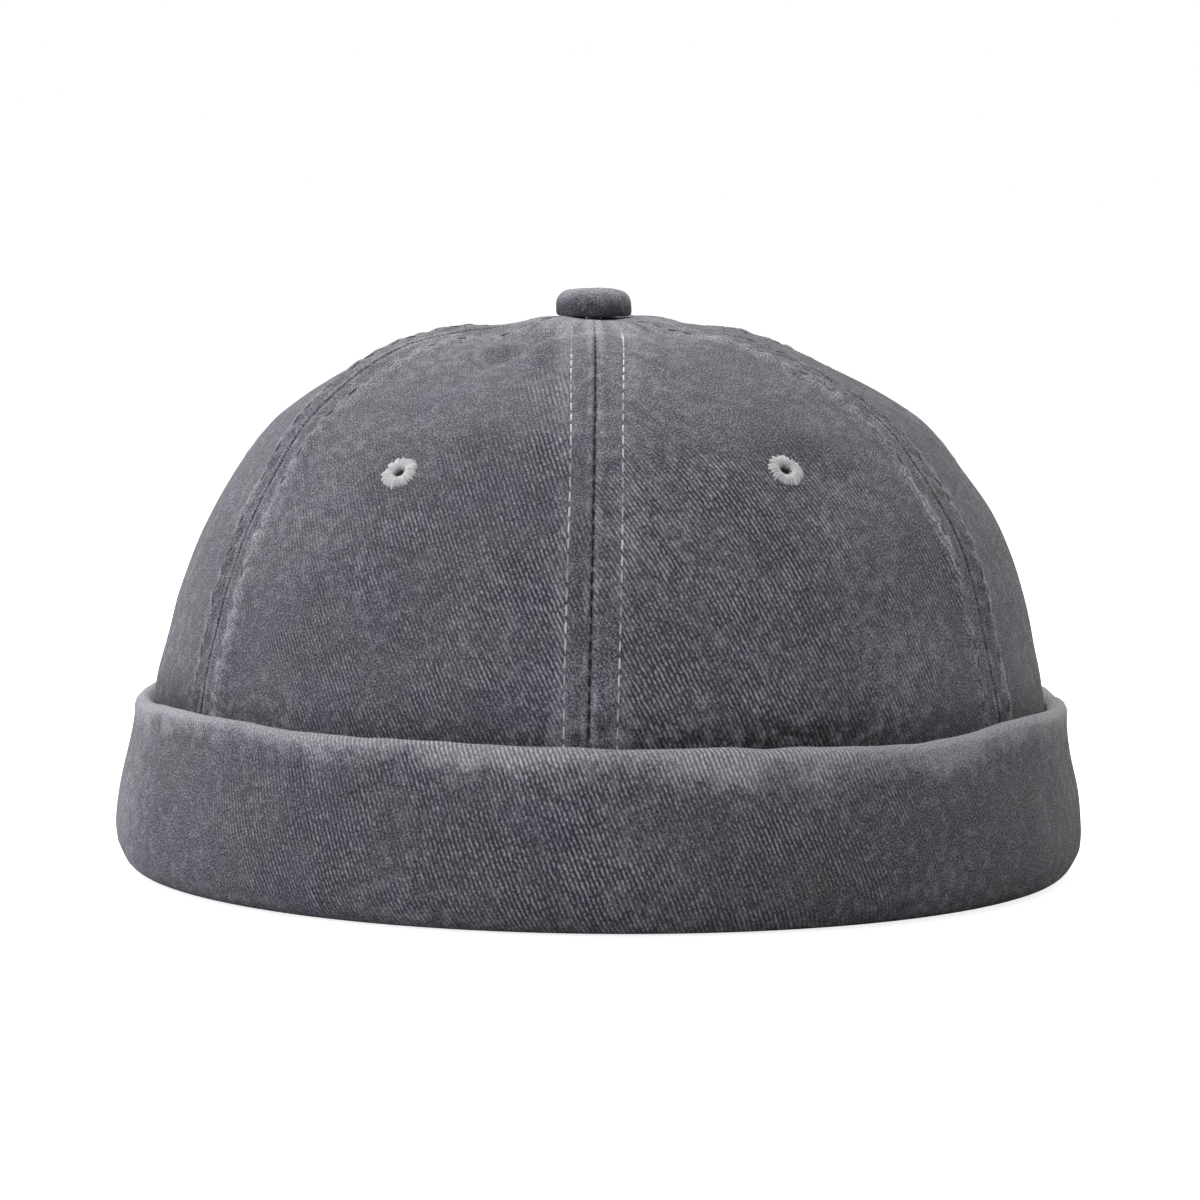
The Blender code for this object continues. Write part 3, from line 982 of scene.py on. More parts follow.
        # the gathers under the button, rubbed in spokes and most in front
        spokes = np.stack(
            np.broadcast_arrays(7.0 * np.sin(turn), 7.0 * np.cos(turn), np.full(reach.shape, 0.3)),
            axis=-1,
        )
        ahead = np.abs(wrapped(turn))
        gathered = bell(reach - 13.0 * MM, 9.0 * MM)
        worn = worn + gathered * (0.40 + 0.9 * lumps(spokes, 1.0, 3.7) + 0.35 * bell(ahead, 0.55))
        # one patch on the left shoulder, then a soft drift over the whole crown
        side = np.abs(wrapped(turn + math.pi / 3.0))
        worn = worn + 0.34 * bell(side, 0.42) * bell(reach - 40.0 * MM, 15.0 * MM)
        worn = worn + 0.10 + 0.20 * lumps(place, 21.0 * MM, 2.2)
        return np.clip(worn, 0.0, 1.2)

    def nap(self, place: np.ndarray, turn: np.ndarray, climb: np.ndarray) -> np.ndarray:
        """Return how far the wash has fuzzed the ribs over at places, 0 to 1."""
        seams = self.seam_fields(turn, climb)
        pressed = 0.30 * ease(seams["near"], seams["row"] + 0.4 * MM, seams["row"] - 0.6 * MM)
        low = 1.0 - 0.8 * ease(place[..., 2], 76.0 * MM, 97.0 * MM)
        crisp = bell(place[..., 0] - 6.0 * MM, 78.0 * MM) * low
        # the ribs stay crisp higher up beside the front seam's left row
        high = bell(place[..., 0] + 10.0 * MM, 9.0 * MM) * ease(place[..., 2], 106.0 * MM, 98.0 * MM)
        crisp = np.maximum(crisp, 0.85 * high * (place[..., 1] < 0.0))
        return np.clip(0.82 - 0.80 * crisp + pressed + 0.22 * lumps(place, 26.0 * MM, 5.5), 0.0, 1.0)

    def painted_shade(self, place: np.ndarray) -> np.ndarray:
        """Return the painted shade on the crown just above the cuff at places, 0 to 1."""
        # painted shade: a soft dark band above the cuff, most on the right and the far left
        shade_zone = bell(place[..., 2] - 33.0 * MM, 8.0 * MM)
        # painted shadow: a narrow dark line where the cuff's top edge meets the crown
        edge = 0.42 * bell(place[..., 2] - 35.0 * MM, 3.6 * MM)
        right = bell(place[..., 0] - 30.0 * MM, 32.0 * MM)
        left = bell(place[..., 0] + 84.0 * MM, 16.0 * MM)
        soft_shade = shade_zone * (0.08 + 0.26 * right + 0.16 * left)
        return soft_shade + edge * (0.55 + 0.45 * right + 0.60 * left)


@dataclass
class Gore:
    """One cut gore of the crown, with its edges rolled into the seams."""

    cut: GoreCut
    crown: CrownForm
    twill: WashedTwill
    middle_columns: int = 46
    row_step: float = 1.05 * MM
    hidden_rows: int = 5
    edge_gap: float = 0.02 * MM
    narrow: float = 27.0 * MM
    top_hole: float = 2.4 * MM
    eyelet_hole: float = 1.9 * MM

    def edge_columns(self, row: float) -> np.ndarray:
        """Return where the columns beside a seam stand, close at the ditch and the stitching."""
        steps = [0.0, 0.16, 0.34, 0.56, 0.85, 1.25, 1.75, 2.3, 2.9]
        steps = [step * MM for step in steps]
        beside = [-1.0, -0.5, -0.22, 0.0, 0.22, 0.5, 1.0, 1.7, 2.5, 3.4]
        return np.array(steps + [row + step * MM for step in beside])

    def climbs(self) -> np.ndarray:
        """Return the climb of every row, from the foot to the hole for the post."""
        crown = self.crown
        shown = crown.climb_at_height(24.0 * MM)
        last = crown.climb_at_radius(self.top_hole)
        rows = int(round((last - shown) * crown.arc / self.row_step))
        low = np.linspace(0.0, shown, self.hidden_rows + 1)[:-1]
        return np.concatenate([low, np.linspace(shown, last, rows + 1)])

    def build(self) -> bpy.types.Object:
        """Make the gore from a grid that is laid over the crown.

        Returns:
            The finished piece, two faces and a rim of cloth.
        """
        crown = self.crown
        climb = self.climbs()[:, None]
        first = crown.seam_turn(self.cut.start, climb)
        last = crown.seam_turn(self.cut.end, climb)
        last = np.where(last < first, last + 2.0 * math.pi, last)
        left = first + self.edge_gap / crown.reach(first, climb)
        right = last - self.edge_gap / crown.reach(last, climb)
        width = crown.reach(0.5 * (first + last), climb) * (right - left)
        shrink = np.minimum(1.0, width / self.narrow) / width
        near = self.edge_columns(SEAMS[self.cut.start].row_after)[None, :] * shrink
        far = self.edge_columns(SEAMS[self.cut.end].row_before)[None, :] * shrink
        even = np.linspace(0.0, 1.0, self.middle_columns + 2)[None, 1:-1]
        middle = near[:, -1:] + (1.0 - far[:, -1:] - near[:, -1:]) * even
        shares = np.concatenate([near, middle, 1.0 - far[:, ::-1]], axis=1)
        turn = left + (right - left) * shares
        rows, columns = turn.shape

        bpy.ops.object.select_all(action="DESELECT")
        bpy.ops.mesh.primitive_grid_add(x_subdivisions=columns - 1, y_subdivisions=rows - 1, size=0.1)
        gore = take_new("gore_" + self.cut.name)
        place = crown.base(turn, climb)
        place_points(gore, crown.skin(turn, climb))
        corners = corner_points(gore)
        along = np.broadcast_to(climb * crown.arc, turn.shape)
        flat = np.stack([(shares - 0.5) * width, along], -1)
        grain = math.radians(self.cut.grain)
        laid = np.array([[math.cos(grain), -math.sin(grain)], [math.sin(grain), math.cos(grain)]])
        lay_uv(gore, "cloth", (flat.reshape(-1, 2) @ laid)[corners] * self.cut.spread)
        seams = crown.seam_fields(turn, climb)
        beside = np.stack([seams["near"], along], -1)
        lay_uv(gore, "seam", beside.reshape(-1, 2)[corners])
        paint_points(gore, "wear", crown.wear(place, turn, climb))
        paint_points(gore, "nap", crown.nap(place, turn, climb))
        # painted shade on the crown just above the cuff
        paint_points(gore, "painted_shade", crown.painted_shade(place))

        spot = crown.skin(
            np.array(math.radians(self.cut.eyelet_turn)),
            np.array(crown.climb_at_height(self.cut.eyelet_height)),
        )
        centres = np.zeros(len(gore.data.polygons) * 3)
        gore.data.polygons.foreach_get("center", centres)
        gone = np.linalg.norm(centres.reshape(-1, 3) - spot, axis=1)
        delete_faces(gore, gone < self.eyelet_hole)

        thick = gore.modifiers.new("cloth", "SOLIDIFY")
        thick.thickness = crown.cloth
        thick.offset = -1.0
        apply_modifier(gore, thick)
        shade_smooth(gore)
        dress(gore, self.twill.build())
        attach(gore, "root")
        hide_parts("panel_" + self.cut.name)
        return gore


@dataclass
class Cuff:
    """The turned-up cuff: one doubled band, folded at its foot and rolled at its top."""

    crown: CrownForm
    twill: WashedTwill
    height: float = 34.0 * MM
    bulge: float = 6.0 * MM
    roll: float = 3.7 * MM
    wall: float = 3.0 * MM
    web: float = 3.0 * MM
    flat: float = 1.8 * MM
    hem_wall: float = 2.4 * MM
    hem_height: float = 15.0 * MM
    hem_offset: float = 2.0 * MM
    join_dent: float = 0.6 * MM
    join_width: float = 0.008
    around: int = 256
    steps: int = 3

    def wave(self, turn: np.ndarray) -> tuple[np.ndarray, np.ndarray]:
        """Return the lift of the upper fold and the swell outward at turns."""
        lift = np.zeros_like(turn)
        swell = np.zeros_like(turn)
        for middle, spread, rise, out in CUFF_WAVES:
            away = (np.degrees(turn) - middle + 180.0) % 360.0 - 180.0
            share = bell(away, spread)
            lift = lift + rise * self.height * share
            swell = swell + out * self.bulge * share
        ring = np.stack([np.sin(turn), np.cos(turn), np.zeros_like(turn)], -1)
        lift = lift + 0.55 * MM * lumps(ring, 0.16, 2.9) + 0.30 * MM * lumps(ring, 0.07, 7.7)
        return lift, swell

    def sections(self, turn: np.ndarray) -> tuple[np.ndarray, np.ndarray]:
        """Return the closed section at each turn.

        Args:
            turn: angles of the rings.

        Returns:
            Offsets from the crown's foot and heights, rings by points.
        """
        lift, swell = self.wave(turn)
        height = self.height + lift
        half = self.roll / 2.0
        zero = np.zeros_like(turn)
        points = [(zero - self.flat, zero), (zero, zero), (zero + self.flat, zero)]
        for level, out in CUFF_FACE:
            push = swell * math.sin(math.pi * level) ** 0.5
            points.append((self.bulge * out + push, level * height))
        upper = points[-1][0]
        top = height - half
        for angle in (5.0, 35.0, 65.0, 92.0, 120.0, 150.0, 178.0):
            turn_up = math.radians(angle)
            points.append((
                upper - half + half * math.cos(turn_up) * 1.02,
                top + half * math.sin(turn_up),
            ))
        inner = upper - self.roll
        for level in (0.78, 0.60, 0.42, 0.26):
            share = (0.88 - level) / 0.62
            bow = np.interp(level, [row[0] for row in CUFF_FACE], [row[1] for row in CUFF_FACE])
            offset = inner * (1.0 - share) + (self.bulge * bow - self.wall) * share
            points.append((offset, level * height))
        hem, tall = self.hem_wall, self.hem_height
        near = -self.hem_offset
        deep = near - hem
        inside = (
            (0.30 * self.bulge, self.web + 1.4 * MM),
            (0.12 * self.bulge, self.web + 0.3 * MM),
            (-0.6 * MM, self.web),
            (near - 0.1 * MM, self.web + 0.6 * MM),
            (near, 0.45 * tall),
            (near, tall - 0.6 * hem),
            (near - 0.15 * hem, tall - 0.2 * hem),
            (near - 0.5 * hem, tall),
            (deep + 0.15 * hem, tall - 0.2 * hem),
            (deep, tall - 0.6 * hem),
            (deep, 0.45 * tall),
            (deep, 0.20 * tall),
            (deep + 0.25 * hem, 0.07 * tall),
            (deep + 0.65 * hem, 0.015 * tall),
        )
        points += [(zero + offset, zero + rise) for offset, rise in inside]
        offsets = np.stack([point[0] for point in points], -1)
        heights = np.stack([point[1] for point in points], -1)
        return self.rounded(offsets), np.maximum(self.rounded(heights), 0.0)

    def rounded(self, rows: np.ndarray) -> np.ndarray:
        """Run a smooth closed curve through the points of each ring."""
        before = np.roll(rows, 1, axis=1)
        after = np.roll(rows, -1, axis=1)
        beyond = np.roll(rows, -2, axis=1)
        made = []
        for step in range(self.steps):
            t = step / self.steps
            made.append(
                0.5 * (2.0 * rows + (after - before) * t
                + (2.0 * before - 5.0 * rows + 4.0 * after - beyond) * t**2
                + (3.0 * rows - before - 3.0 * after + beyond) * t**3)
            )
        return np.stack(made, axis=-1).reshape(rows.shape[0], -1)

    def relief(self, place: np.ndarray, height: np.ndarray, outside: np.ndarray) -> np.ndarray:
        """Return the soft dents and swells of the band's outer face."""
        tall = place * np.array([1.0, 1.0, 0.35])
        creased = 0.30 * MM * lumps(tall, 13.0 * MM, 6.2)
        soft = swells(place, CUFF_SWELLS) + creased
        return soft * outside * ease(height, 0.0, 6.0 * MM)

    def wear(self, place: np.ndarray, height: np.ndarray, top: np.ndarray) -> np.ndarray:
        """Return how far the wash has rubbed the band pale, most along its upper fold, with a painted
        highlight on its left end.
        """
        below = top - height
        ragged = below + swells(place, CUFF_FRAY)
        ahead = bell(place[..., 0] - 38.0 * MM, 32.0 * MM) * (place[..., 1] < 0.0)
        spots = bell(place[..., 0] + 15.0 * MM, 12.0 * MM) + bell(place[..., 0] - 57.0 * MM, 8.0 * MM)
        fold = (0.86 + 0.38 * ahead + 0.26 * spots) * bell(ragged, (3.5 + 2.2 * ahead) * MM)
        fold = fold + 0.35 * bell(below, 1.6 * MM)
        patch = 0.95 + 0.55 * lumps(place, 13.0 * MM, 1.3)
        foot = 0.12 * bell(height - 2.0 * MM, 2.0 * MM)
        drift = 0.06 + 0.14 * lumps(place, 24.0 * MM, 5.8)
        # painted highlight: the band's left end, where it turns away, is lightened
        drift = drift + 0.34 * bell(place[..., 0] + 96.0 * MM, 9.0 * MM)
        return np.clip(fold * patch + foot + drift, 0.0, 1.2)

    def nap(self, place: np.ndarray) -> np.ndarray:
        """Return how far the wash has fuzzed the band's ribs over at places, 0 to 1."""
        crisp = bell(place[..., 0] + 2.0 * MM, 76.0 * MM)
        return np.clip(0.80 - 0.80 * crisp + 0.22 * lumps(place, 26.0 * MM, 5.5), 0.0, 1.0)

    def painted_shade(self, place: np.ndarray, height: np.ndarray) -> np.ndarray:
        """Return the painted shade on the band: a little all over, more near its foot, most on its lower
        right.
        """
        # painted shade: darker low on the band's right and along its foot
        shade_zone = bell(place[..., 0] - 62.0 * MM, 30.0 * MM) * bell(height - 8.0 * MM, 14.0 * MM)
        return 0.05 + 0.12 * shade_zone + 0.10 * bell(height, 5.0 * MM)

    def stand(self, turn: np.ndarray, offset: np.ndarray, height: np.ndarray) -> np.ndarray:
        """Stand the rings round the crown's foot.

        Args:
            turn: one angle for each ring.
            offset: how far each point stands out from the crown's foot.
            height: how high it stands.

        Returns:
            Rings by points, with x, y, z last.
        """
        aside = (self.crown.half_width + offset) * np.sin(turn)[:, None]
        ahead = -(self.crown.half_length + offset) * np.cos(turn)[:, None]
        return np.stack([aside, ahead, height], axis=-1)

    def build(self) -> bpy.types.Object:
        """Make the cuff from a torus whose rings take the band's section.

        Returns:
            The finished piece, closed all round.
        """
        turn = math.pi + 2.0 * math.pi * np.arange(self.around) / self.around
        offsets, heights = self.sections(turn)
        count = offsets.shape[1]
        bpy.ops.object.select_all(action="DESELECT")
        bpy.ops.mesh.primitive_torus_add(
            major_segments=self.around,
            minor_segments=count,
            major_radius=self.crown.half_width,
            minor_radius=self.roll,
        )
        cuff = take_new("cuff_band")
        spot = np.arange(count)[None, :]
        crest = int(np.argmax(heights[0]))
        outside = ((spot > 2 * self.steps) & (spot <= crest)).astype(float)
        place = self.stand(turn, offsets, heights)
        top = heights.max(axis=1, keepdims=True)
        join = bell(turn[:, None] % (2.0 * math.pi) - math.pi, self.join_width)
        rise = self.relief(place, heights, outside) - self.join_dent * join * outside
        place_points(cuff, self.stand(turn, offsets + rise, heights))

        ringed = place[:, 3 * self.steps]
        girth = run_length(np.concatenate([ringed, ringed[:1]]))
        middle = np.stack([offsets.mean(0), heights.mean(0)], -1)
        climb = run_length(np.concatenate([middle, middle[:1]]))
        corners = corner_points(cuff).reshape(-1, 4)
        ring, at = np.divmod(corners, count)
        ring = np.where((ring == 0) & (ring.max(axis=1, keepdims=True) > 1), self.around, ring)
        at = np.where((at == 0) & (at.max(axis=1, keepdims=True) > 1), count, at)
        flat = np.stack([girth[ring] - 0.5 * girth[-1], climb[at]], -1)
        lay_uv(cuff, "cloth", flat)
        paint_points(cuff, "wear", self.wear(place, heights, top))
        paint_points(cuff, "nap", self.nap(place))
        # painted shade on the band, darker towards its foot and lower right
        paint_points(cuff, "painted_shade", self.painted_shade(place, heights))
        shade_smooth(cuff)
        dress(cuff, self.twill.build(seamed=False))
        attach(cuff, "root")
        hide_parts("cuff")
        return cuff


class ThreadWork:
    """Lengths of thread, each modelled once and laid down many times."""

    def __init__(self, name: str, path: np.ndarray, widths: np.ndarray, heights: np.ndarray) -> None:
        """Model one length of thread by rolling up a small grid.

        Args:
            name: the thread's name while it is made.
            path: points along it, in its own x and z.
            widths: its half width at each point.
            heights: its half height at each point.
        """
        sides = 6
        bpy.ops.object.select_all(action="DESELECT")
        bpy.ops.mesh.primitive_grid_add(
            x_subdivisions=sides, y_subdivisions=len(path) - 1, size=0.001
        )
        strand = take_new(name)
        ahead = np.gradient(path, axis=0)
        ahead = ahead / np.linalg.norm(ahead, axis=1, keepdims=True)
        above = np.stack([-ahead[:, 2], np.zeros(len(path)), ahead[:, 0]], axis=1)
        angle = 2.0 * math.pi * np.arange(sides + 1) / sides
        points = (
            path[:, None, :]
            + np.cos(angle)[None, :, None] * widths[:, None, None] * np.array([0.0, 1.0, 0.0])
            + np.sin(angle)[None, :, None] * heights[:, None, None] * above[:, None, :]
        )
        place_points(strand, points)
        merge_doubles(strand, 1.0e-6)
        self.points = mesh_points(strand)
        self.faces = [tuple(face.vertices) for face in strand.data.polygons]
        bpy.data.objects.remove(strand, do_unlink=True)

    def lay(self, name: str, frames: list, tones: list) -> bpy.types.Object:
        """Lay copies of the thread down as one piece.

        Args:
            name: the piece's name.
            frames: for each copy its origin, and its own x, y and z as vectors.
            tones: how light each copy is, about 1.

        Returns:
            The piece.
        """
        points = []
        faces = []
        shades = []
        for copy, (origin, first, second, third) in enumerate(frames):
            base = copy * len(self.points)
            points.append(origin + self.points @ np.stack([first, second, third]))
            faces += [tuple(at + base for at in face) for face in self.faces]
            shades += [tones[copy]] * len(self.points)
        mesh = bpy.data.meshes.new(name)
        mesh.from_pydata(np.concatenate(points).tolist(), [], faces)
        piece = bpy.data.objects.new(name, mesh)
        bpy.context.scene.collection.objects.link(piece)
        paint_points(piece, "tone", np.array(shades))
        shade_smooth(piece)
        return piece


@dataclass
class Topstitching:
    """The two rows of topstitching beside one seam."""

    seam: Seam
    crown: CrownForm
    pitch: float = 3.2 * MM
    length: float = 2.7 * MM
    thread_radius: float = 0.19 * MM
    start_height: float = 25.0 * MM
    end_radius: float = 9.0 * MM
    wander: float = 0.10 * MM
    wander_length: float = 11.0 * MM
    proud: float = 0.04 * MM

    def frames(self, offset: float, seed: float) -> tuple[list, list]:
        """Return where the stitches of one row lie.

        Args:
            offset: the row's distance from the ditch, below zero before it.
            seed: an offset for the small differences between stitches.

        Returns:
            The frames and tones of the stitches.
        """
        crown = self.crown
        low = crown.climb_at_height(self.start_height)
        high = crown.climb_at_radius(self.end_radius)
        count = int((high - low) * crown.arc / self.pitch)
        middle = low + (np.arange(count) + 0.5) * self.pitch / crown.arc
        half = 0.5 * self.length / crown.arc
        ends = []
        for climb in (middle - half, middle + half):
            turn = crown.seam_turn(self.seam, climb)
            wander = self.wander * np.sin(climb * crown.arc / self.wander_length + seed)
            turn = turn + (offset + wander) / crown.reach(turn, climb)
            ends.append(crown.skin(turn, climb))
        turn = crown.seam_turn(self.seam, middle)
        turn = turn + offset / crown.reach(turn, middle)
        normal, _ = crown.frame(turn, middle)
        frames = []
        tones = []
        for start, end, out, climb in zip(ends[0], ends[1], normal, middle):
            along = end - start
            side = np.cross(out, along)
            side = side / np.linalg.norm(side)
            above = np.cross(along, side)
            above = above / np.linalg.norm(above)
            proud = self.proud * (1.0 + 0.5 * math.sin(climb * 311.0 + seed))
            frames.append((0.5 * (start + end) + above * proud, along, side, above))
            tones.append(0.86 + 0.26 * math.sin(climb * 977.0 + seed))
        low, high = (30.0, 44.0) if offset < 0.0 else (13.0, 24.0)
        kept = 0.45 + 0.55 * ease(crown.reach(turn, middle), low * MM, high * MM)
        return frames, (np.array(tones) * kept).tolist()

    def build(self) -> bpy.types.Object:
        """Lay both rows as one piece."""
        reach = np.linspace(-0.5, 0.5, 7)
        thick = np.sqrt(np.clip(1.0 - (2.0 * reach) ** 4, 0.03, 1.0))
        path = np.stack([reach, np.zeros(7), -0.20 * MM * (2.0 * reach) ** 4], axis=1)
        radius = self.thread_radius
        work = ThreadWork("stitch", path, radius * thick, 0.85 * radius * thick)
        seam = SEAMS[self.seam]
        frames, tones = self.frames(-seam.row_before, 0.4)
        more, shades = self.frames(seam.row_after, 2.1)
        piece = work.lay("topstitch_" + self.seam.value, frames + more, tones + shades)
        thread = CottonThread("thread_" + self.seam.value, seam.thread.value)
        dress(piece, thread.build())
        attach(piece, "root")
        return piece


@dataclass
class Eyelet:
    """One worked eyelet: thread oversewn round a small hole, inside and out."""

    cut: GoreCut
    crown: CrownForm
    strands: int = 76
    outer: float = 3.35 * MM
    oval: float = 1.11
    bore: float = 0.85 * MM
    rise: float = 0.62 * MM
    colour: str = "#cfcfce"

    def build(self) -> bpy.types.Object:
        """Oversew the ring, then fill it with a padded core, painted dark as the shade of the hole.

        Returns:
            The finished piece.
        """
        crown = self.crown
        turn = np.array(math.radians(self.cut.eyelet_turn))
        climb = np.array(crown.climb_at_height(self.cut.eyelet_height))
        normal, up = crown.frame(turn, climb)
        across = np.cross(up, normal)
        spot = crown.skin(turn, climb)

        far = np.array([0.28, 0.31, 0.40, 0.54, 0.70, 0.86, 0.97, 1.04])
        tall = np.array([-0.95, 0.05, 0.72, 1.00, 0.90, 0.55, 0.15, -0.25])
        path = np.stack([far * self.outer, np.zeros(8), tall * self.rise], axis=1)
        widths = np.array([0.05, 0.06, 0.08, 0.11, 0.14, 0.16, 0.12, 0.03]) * MM
        work = ThreadWork("strand", path, widths, 0.85 * widths + 0.02 * MM)
        frames = []
        tones = []
        for side in (1.0, -1.0):
            centre = spot if side > 0.0 else spot - normal * crown.cloth
            for index in range(self.strands):
                luck = chance(index, self.cut.eyelet_turn)
                angle = 2.0 * math.pi * (index + 0.35 * (luck - 0.5)) / self.strands
                out = math.cos(angle) * self.oval * across + math.sin(angle) * up
                beside = np.cross(normal * side, out)
                lower = 0.07 * max(-math.sin(angle), 0.0)
                length = 0.88 + lower + 0.22 * luck
                above = normal * side * (0.9 + 0.2 * luck)
                frames.append((centre, out * length, beside, above))
                tones.append(0.82 + 0.30 * luck)
        ring = work.lay("worked_eyelet_" + self.cut.name, frames, tones)

        bpy.ops.object.select_all(action="DESELECT")
        bpy.ops.mesh.primitive_torus_add(
            major_segments=40, minor_segments=14, major_radius=2.0, minor_radius=1.0
        )
        core = take_new("eyelet_core")
        points = mesh_points(core)
        radius = np.hypot(points[:, 0], points[:, 1])
        way = points[:, :2] / radius[:, None]
        width = 0.5 * (0.86 * self.outer - self.bore)
        radius = self.bore + width + (radius - 2.0) * width
        depth = points[:, 2] * (0.5 * crown.cloth + 0.72 * self.rise) - 0.5 * crown.cloth
        made = spot + radius[:, None] * (way[:, :1] * across + way[:, 1:] * up)
        place_points(core, made + depth[:, None] * normal)
        # painted shade: the core is toned dark so the eyelet's hole reads dark
        paint_points(core, "tone", np.full(len(points), self.cut.inside))
        shade_smooth(core)
        select_only(ring)
        core.select_set(True)
        bpy.ops.object.join()
        thread = CottonThread("eyelet_thread_" + self.cut.name, self.colour, ply=0.3)
        dress(ring, thread.build())
        first = np.zeros(len(ring.data.polygons), dtype=np.int32)
        ring.data.polygons.foreach_set("material_index", first)
        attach(ring, "root")
        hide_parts("eyelet_" + self.cut.name)
        return ring


@dataclass
class TopButton:
    """The cloth-covered button where the six gores meet."""

    crown: CrownForm
    twill: WashedTwill
    radius: float = 7.4 * MM
    height: float = 5.4 * MM
    gap: float = 0.65 * MM

    def build(self) -> bpy.types.Object:
        """Shape a ball into the covered button.

        Returns:
            The finished piece.
        """
        radius, tall = self.radius, self.height
        section = np.array([
            (0.0, 1.0), (0.25, 0.997), (0.50, 0.975), (0.70, 0.925), (0.84, 0.84), (0.93, 0.71),
            (0.985, 0.53), (1.0, 0.36), (0.998, 0.20), (0.985, 0.09), (0.955, 0.02), (0.90, 0.0),
            (0.45, 0.0), (0.0, 0.0),
        ]) * np.array([radius, tall])
        length = run_length(section)
        bpy.ops.object.select_all(action="DESELECT")
        bpy.ops.mesh.primitive_uv_sphere_add(segments=72, ring_count=44, radius=1.0)
        button = take_new("covered_button")
        points = mesh_points(button)
        around = np.arctan2(points[:, 1], points[:, 0])
        share = np.arccos(np.clip(points[:, 2], -1.0, 1.0)) / math.pi * length[-1]
        out = np.interp(share, length, section[:, 0])
        high = np.interp(share, length, section[:, 1])
        ring = np.stack([np.cos(around) * out, np.sin(around) * out, high], axis=1)
        pleat = bell(high - 0.10 * tall, 0.22 * tall) * 0.12 * MM * np.cos(13.0 * around + 0.6)
        lump = 0.10 * MM * lumps(ring, 5.0 * MM, 2.5) + 0.05 * MM * lumps(ring, 2.0 * MM, 7.5)
        out = out + np.where(out > 0.5 * radius, pleat + lump, 0.0)
        high = high + np.where(high > 0.4 * tall, 1.6 * lump, 0.0)
        base = np.array([self.crown.lean, 0.0, self.crown.top + self.gap])
        made = np.stack([np.cos(around) * out, np.sin(around) * out, high], axis=1) + base
        place_points(button, made)
        flat = np.stack([np.cos(around), np.sin(around)], axis=1) * share[:, None]
        lay_uv(button, "cloth", flat[corner_points(button)])
        # rubbed pale on top: partly real wear, partly a painted highlight on the button's top
        worn = 0.90 * bell(high - tall, 0.50 * tall) + 0.2 * lumps(ring, 6.0 * MM, 4.0)
        paint_points(button, "wear", np.clip(worn, 0.0, 1.0))
        paint_points(button, "nap", np.full(len(points), 0.85))
        # painted shade: the button is darker towards its bottom
        paint_points(button, "painted_shade", 0.30 * (1.0 - ease(high, 0.1 * tall, 0.62 * tall)))
        shade_smooth(button)
        dress(button, self.twill.build(seamed=False))
        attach(button, "root")
        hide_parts("top_button")
        return button


@dataclass(frozen=True)
class Softbox:
    """One soft light of the studio, square, aimed at the cap.

    It hangs this many degrees round from the camera, to the right, and above the table.
    """

    name: str
    azimuth: float
    elevation: float
    power: float
    colour: str
    size: float = 0.8
    away: float = 1.05

    def build(self, aim: Vector) -> bpy.types.Object:
        """Hang the light and turn it to the cap."""
        light = bpy.data.lights.new(self.name, "AREA")
        light.shape = "SQUARE"
        light.size = self.size
        light.energy = self.power
        light.color = linear(self.colour)[:3]
        hung = bpy.data.objects.new(self.name, light)
        bpy.context.scene.collection.objects.link(hung)
        round_by, above = math.radians(self.azimuth), math.radians(self.elevation)
        out = Vector((
            math.sin(round_by) * math.cos(above),
            -math.cos(round_by) * math.cos(above),
            math.sin(above),
        ))
        hung.location = aim + self.away * out
        hung.rotation_euler = (-out).to_track_quat("-Z", "Y").to_euler()
        hung.visible_camera = False
        return hung


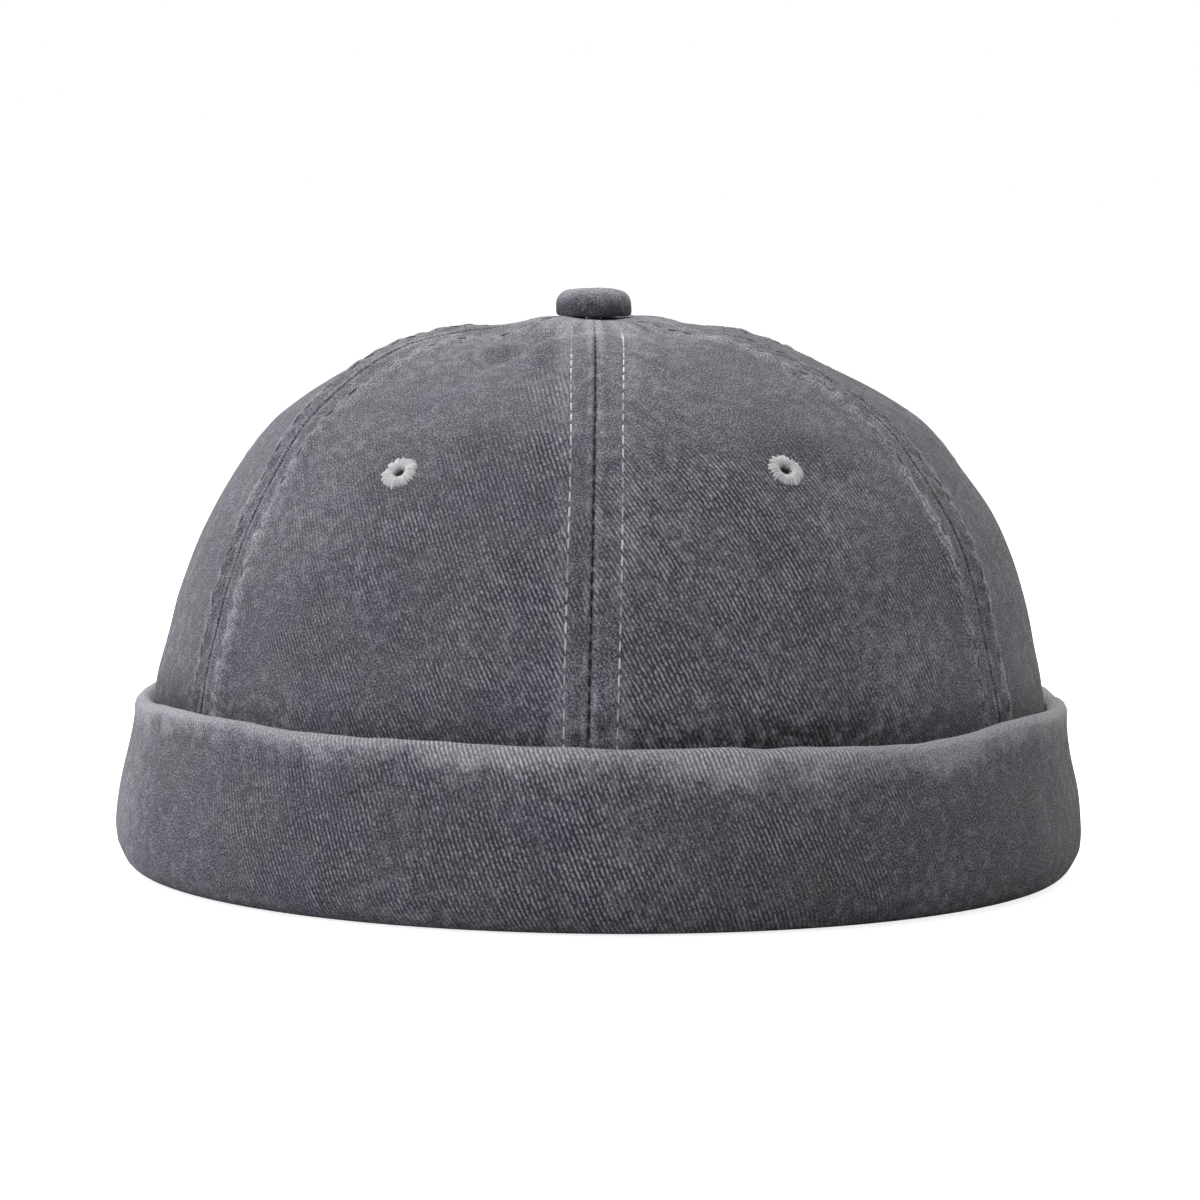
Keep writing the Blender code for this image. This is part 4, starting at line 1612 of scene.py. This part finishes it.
@dataclass
class Studio:
    """A pale table under soft light, with the camera a little above the cap's middle."""

    distance: float = 1.2
    eye_height: float = 0.153
    aside: float = -0.00022
    pitch: float = 4.812
    roll: float = 0.544
    lens: float = 182.87
    around: float = 0.05
    aim_height: float = 0.05
    boxes: tuple = (
        Softbox("softbox_left", -50.0, 25.0, 5.2, "#f5f6ff"),
        Softbox("softbox_over", 180.0, 60.0, 13.9, "#ffffff"),
        Softbox("softbox_high", 40.0, 60.0, 1.8, "#ffffff"),
        Softbox("softbox_front", 0.0, 30.0, 2.0, "#ffffff"),
        Softbox("softbox_back_left", -140.0, 20.0, 11.6, "#f8f9ff"),
        Softbox("softbox_back_right", 140.0, 20.0, 5.2, "#fffef8"),
    )

    def camera(self) -> bpy.types.Object:
        """Stand the camera in front of the cap, looking a little down."""
        lens = bpy.data.cameras.new("camera")
        lens.lens = self.lens
        lens.sensor_width = 36.0
        camera = bpy.data.objects.new("camera", lens)
        bpy.context.scene.collection.objects.link(camera)
        tilt = Matrix.Rotation(math.radians(90.0 - self.pitch), 4, "X")
        level = Matrix.Rotation(math.radians(self.roll), 4, "Z")
        place = Matrix.Translation((self.aside, -self.distance, self.eye_height))
        camera.matrix_world = place @ tilt @ level
        bpy.context.scene.camera = camera
        return camera

    def table(self) -> bpy.types.Object:
        """Lay the pale table under the cap."""
        bpy.ops.object.select_all(action="DESELECT")
        bpy.ops.mesh.primitive_plane_add(size=12.0, location=(0.0, 0.0, -0.0003))
        table = take_new("pale_table")
        material, tree = new_finish("white_laminate")
        spot = object_places(tree)
        away = add_node(tree, "ShaderNodeVectorMath", {0: spot}, operation="LENGTH")
        glow = spread(tree, away.outputs["Value"], (0.14, 0.50), (0.84, 1.02))
        seen = add_node(tree, "ShaderNodeLightPath").outputs["Is Camera Ray"]
        shade(tree, {
            "Base Color": spread(tree, clouds(tree, spot, 3.0, 2.0, 0.5), NOISE_RANGE, (0.48, 0.52)),
            "Roughness": 0.7,
            "Emission Color": (1.0, 1.0, 1.0, 1.0),
            "Emission Strength": combine(tree, "MULTIPLY", glow, seen),
        })
        dress(table, material)
        return table

    def build(self) -> None:
        """Light the scene and stand the camera."""
        scene = bpy.context.scene
        scene.view_settings.view_transform = "Standard"
        world = bpy.data.worlds.new("studio_air")
        scene.world = world
        world.use_nodes = True
        tree = world.node_tree
        tree.nodes.clear()
        seen = add_node(tree, "ShaderNodeLightPath").outputs["Is Camera Ray"]
        strength = spread(tree, seen, (0.0, 1.0), (self.around, 1.0))
        white = {"Color": (1.0, 1.0, 1.0, 1.0), "Strength": strength}
        air = add_node(tree, "ShaderNodeBackground", white)
        add_node(tree, "ShaderNodeOutputWorld", {0: air.outputs[0]})
        aim = Vector((0.0, 0.0, self.aim_height))
        for box in self.boxes:
            box.build(aim)
        self.table()
        self.camera()


def report(piece: bpy.types.Object) -> None:
    """Log one finished piece and how many triangles it has."""
    piece.data.calc_loop_triangles()
    LOG.info("%s: %d triangles", piece.name, len(piece.data.loop_triangles))


def dress_rivet() -> bpy.types.Object:
    """Give the rivet's own solid its steel.

    Returns:
        The rivet.
    """
    rivet = bpy.data.objects["button_rivet"]
    dress(rivet, RivetSteel().build())
    return rivet


def main() -> None:
    """Build the cap and its studio."""
    logging.basicConfig(level=logging.INFO, format="%(message)s")
    crown = CrownForm()
    for cut in GORE_CUTS:
        report(Gore(cut, crown, WashedTwill("washed_twill_" + cut.name)).build())
    report(Cuff(crown, WashedTwill("washed_twill_cuff")).build())
    for seam in Seam:
        report(Topstitching(seam, crown).build())
    for cut in GORE_CUTS:
        report(Eyelet(cut, crown).build())
    covering = WashedTwill(
        "washed_twill_button", groove="#42414a", ground="#4f4e57", rib="#67666f", fleck="#93929a"
    )
    report(TopButton(crown, covering).build())
    report(dress_rivet())
    Studio().build()


if __name__ == "__main__":
    main()
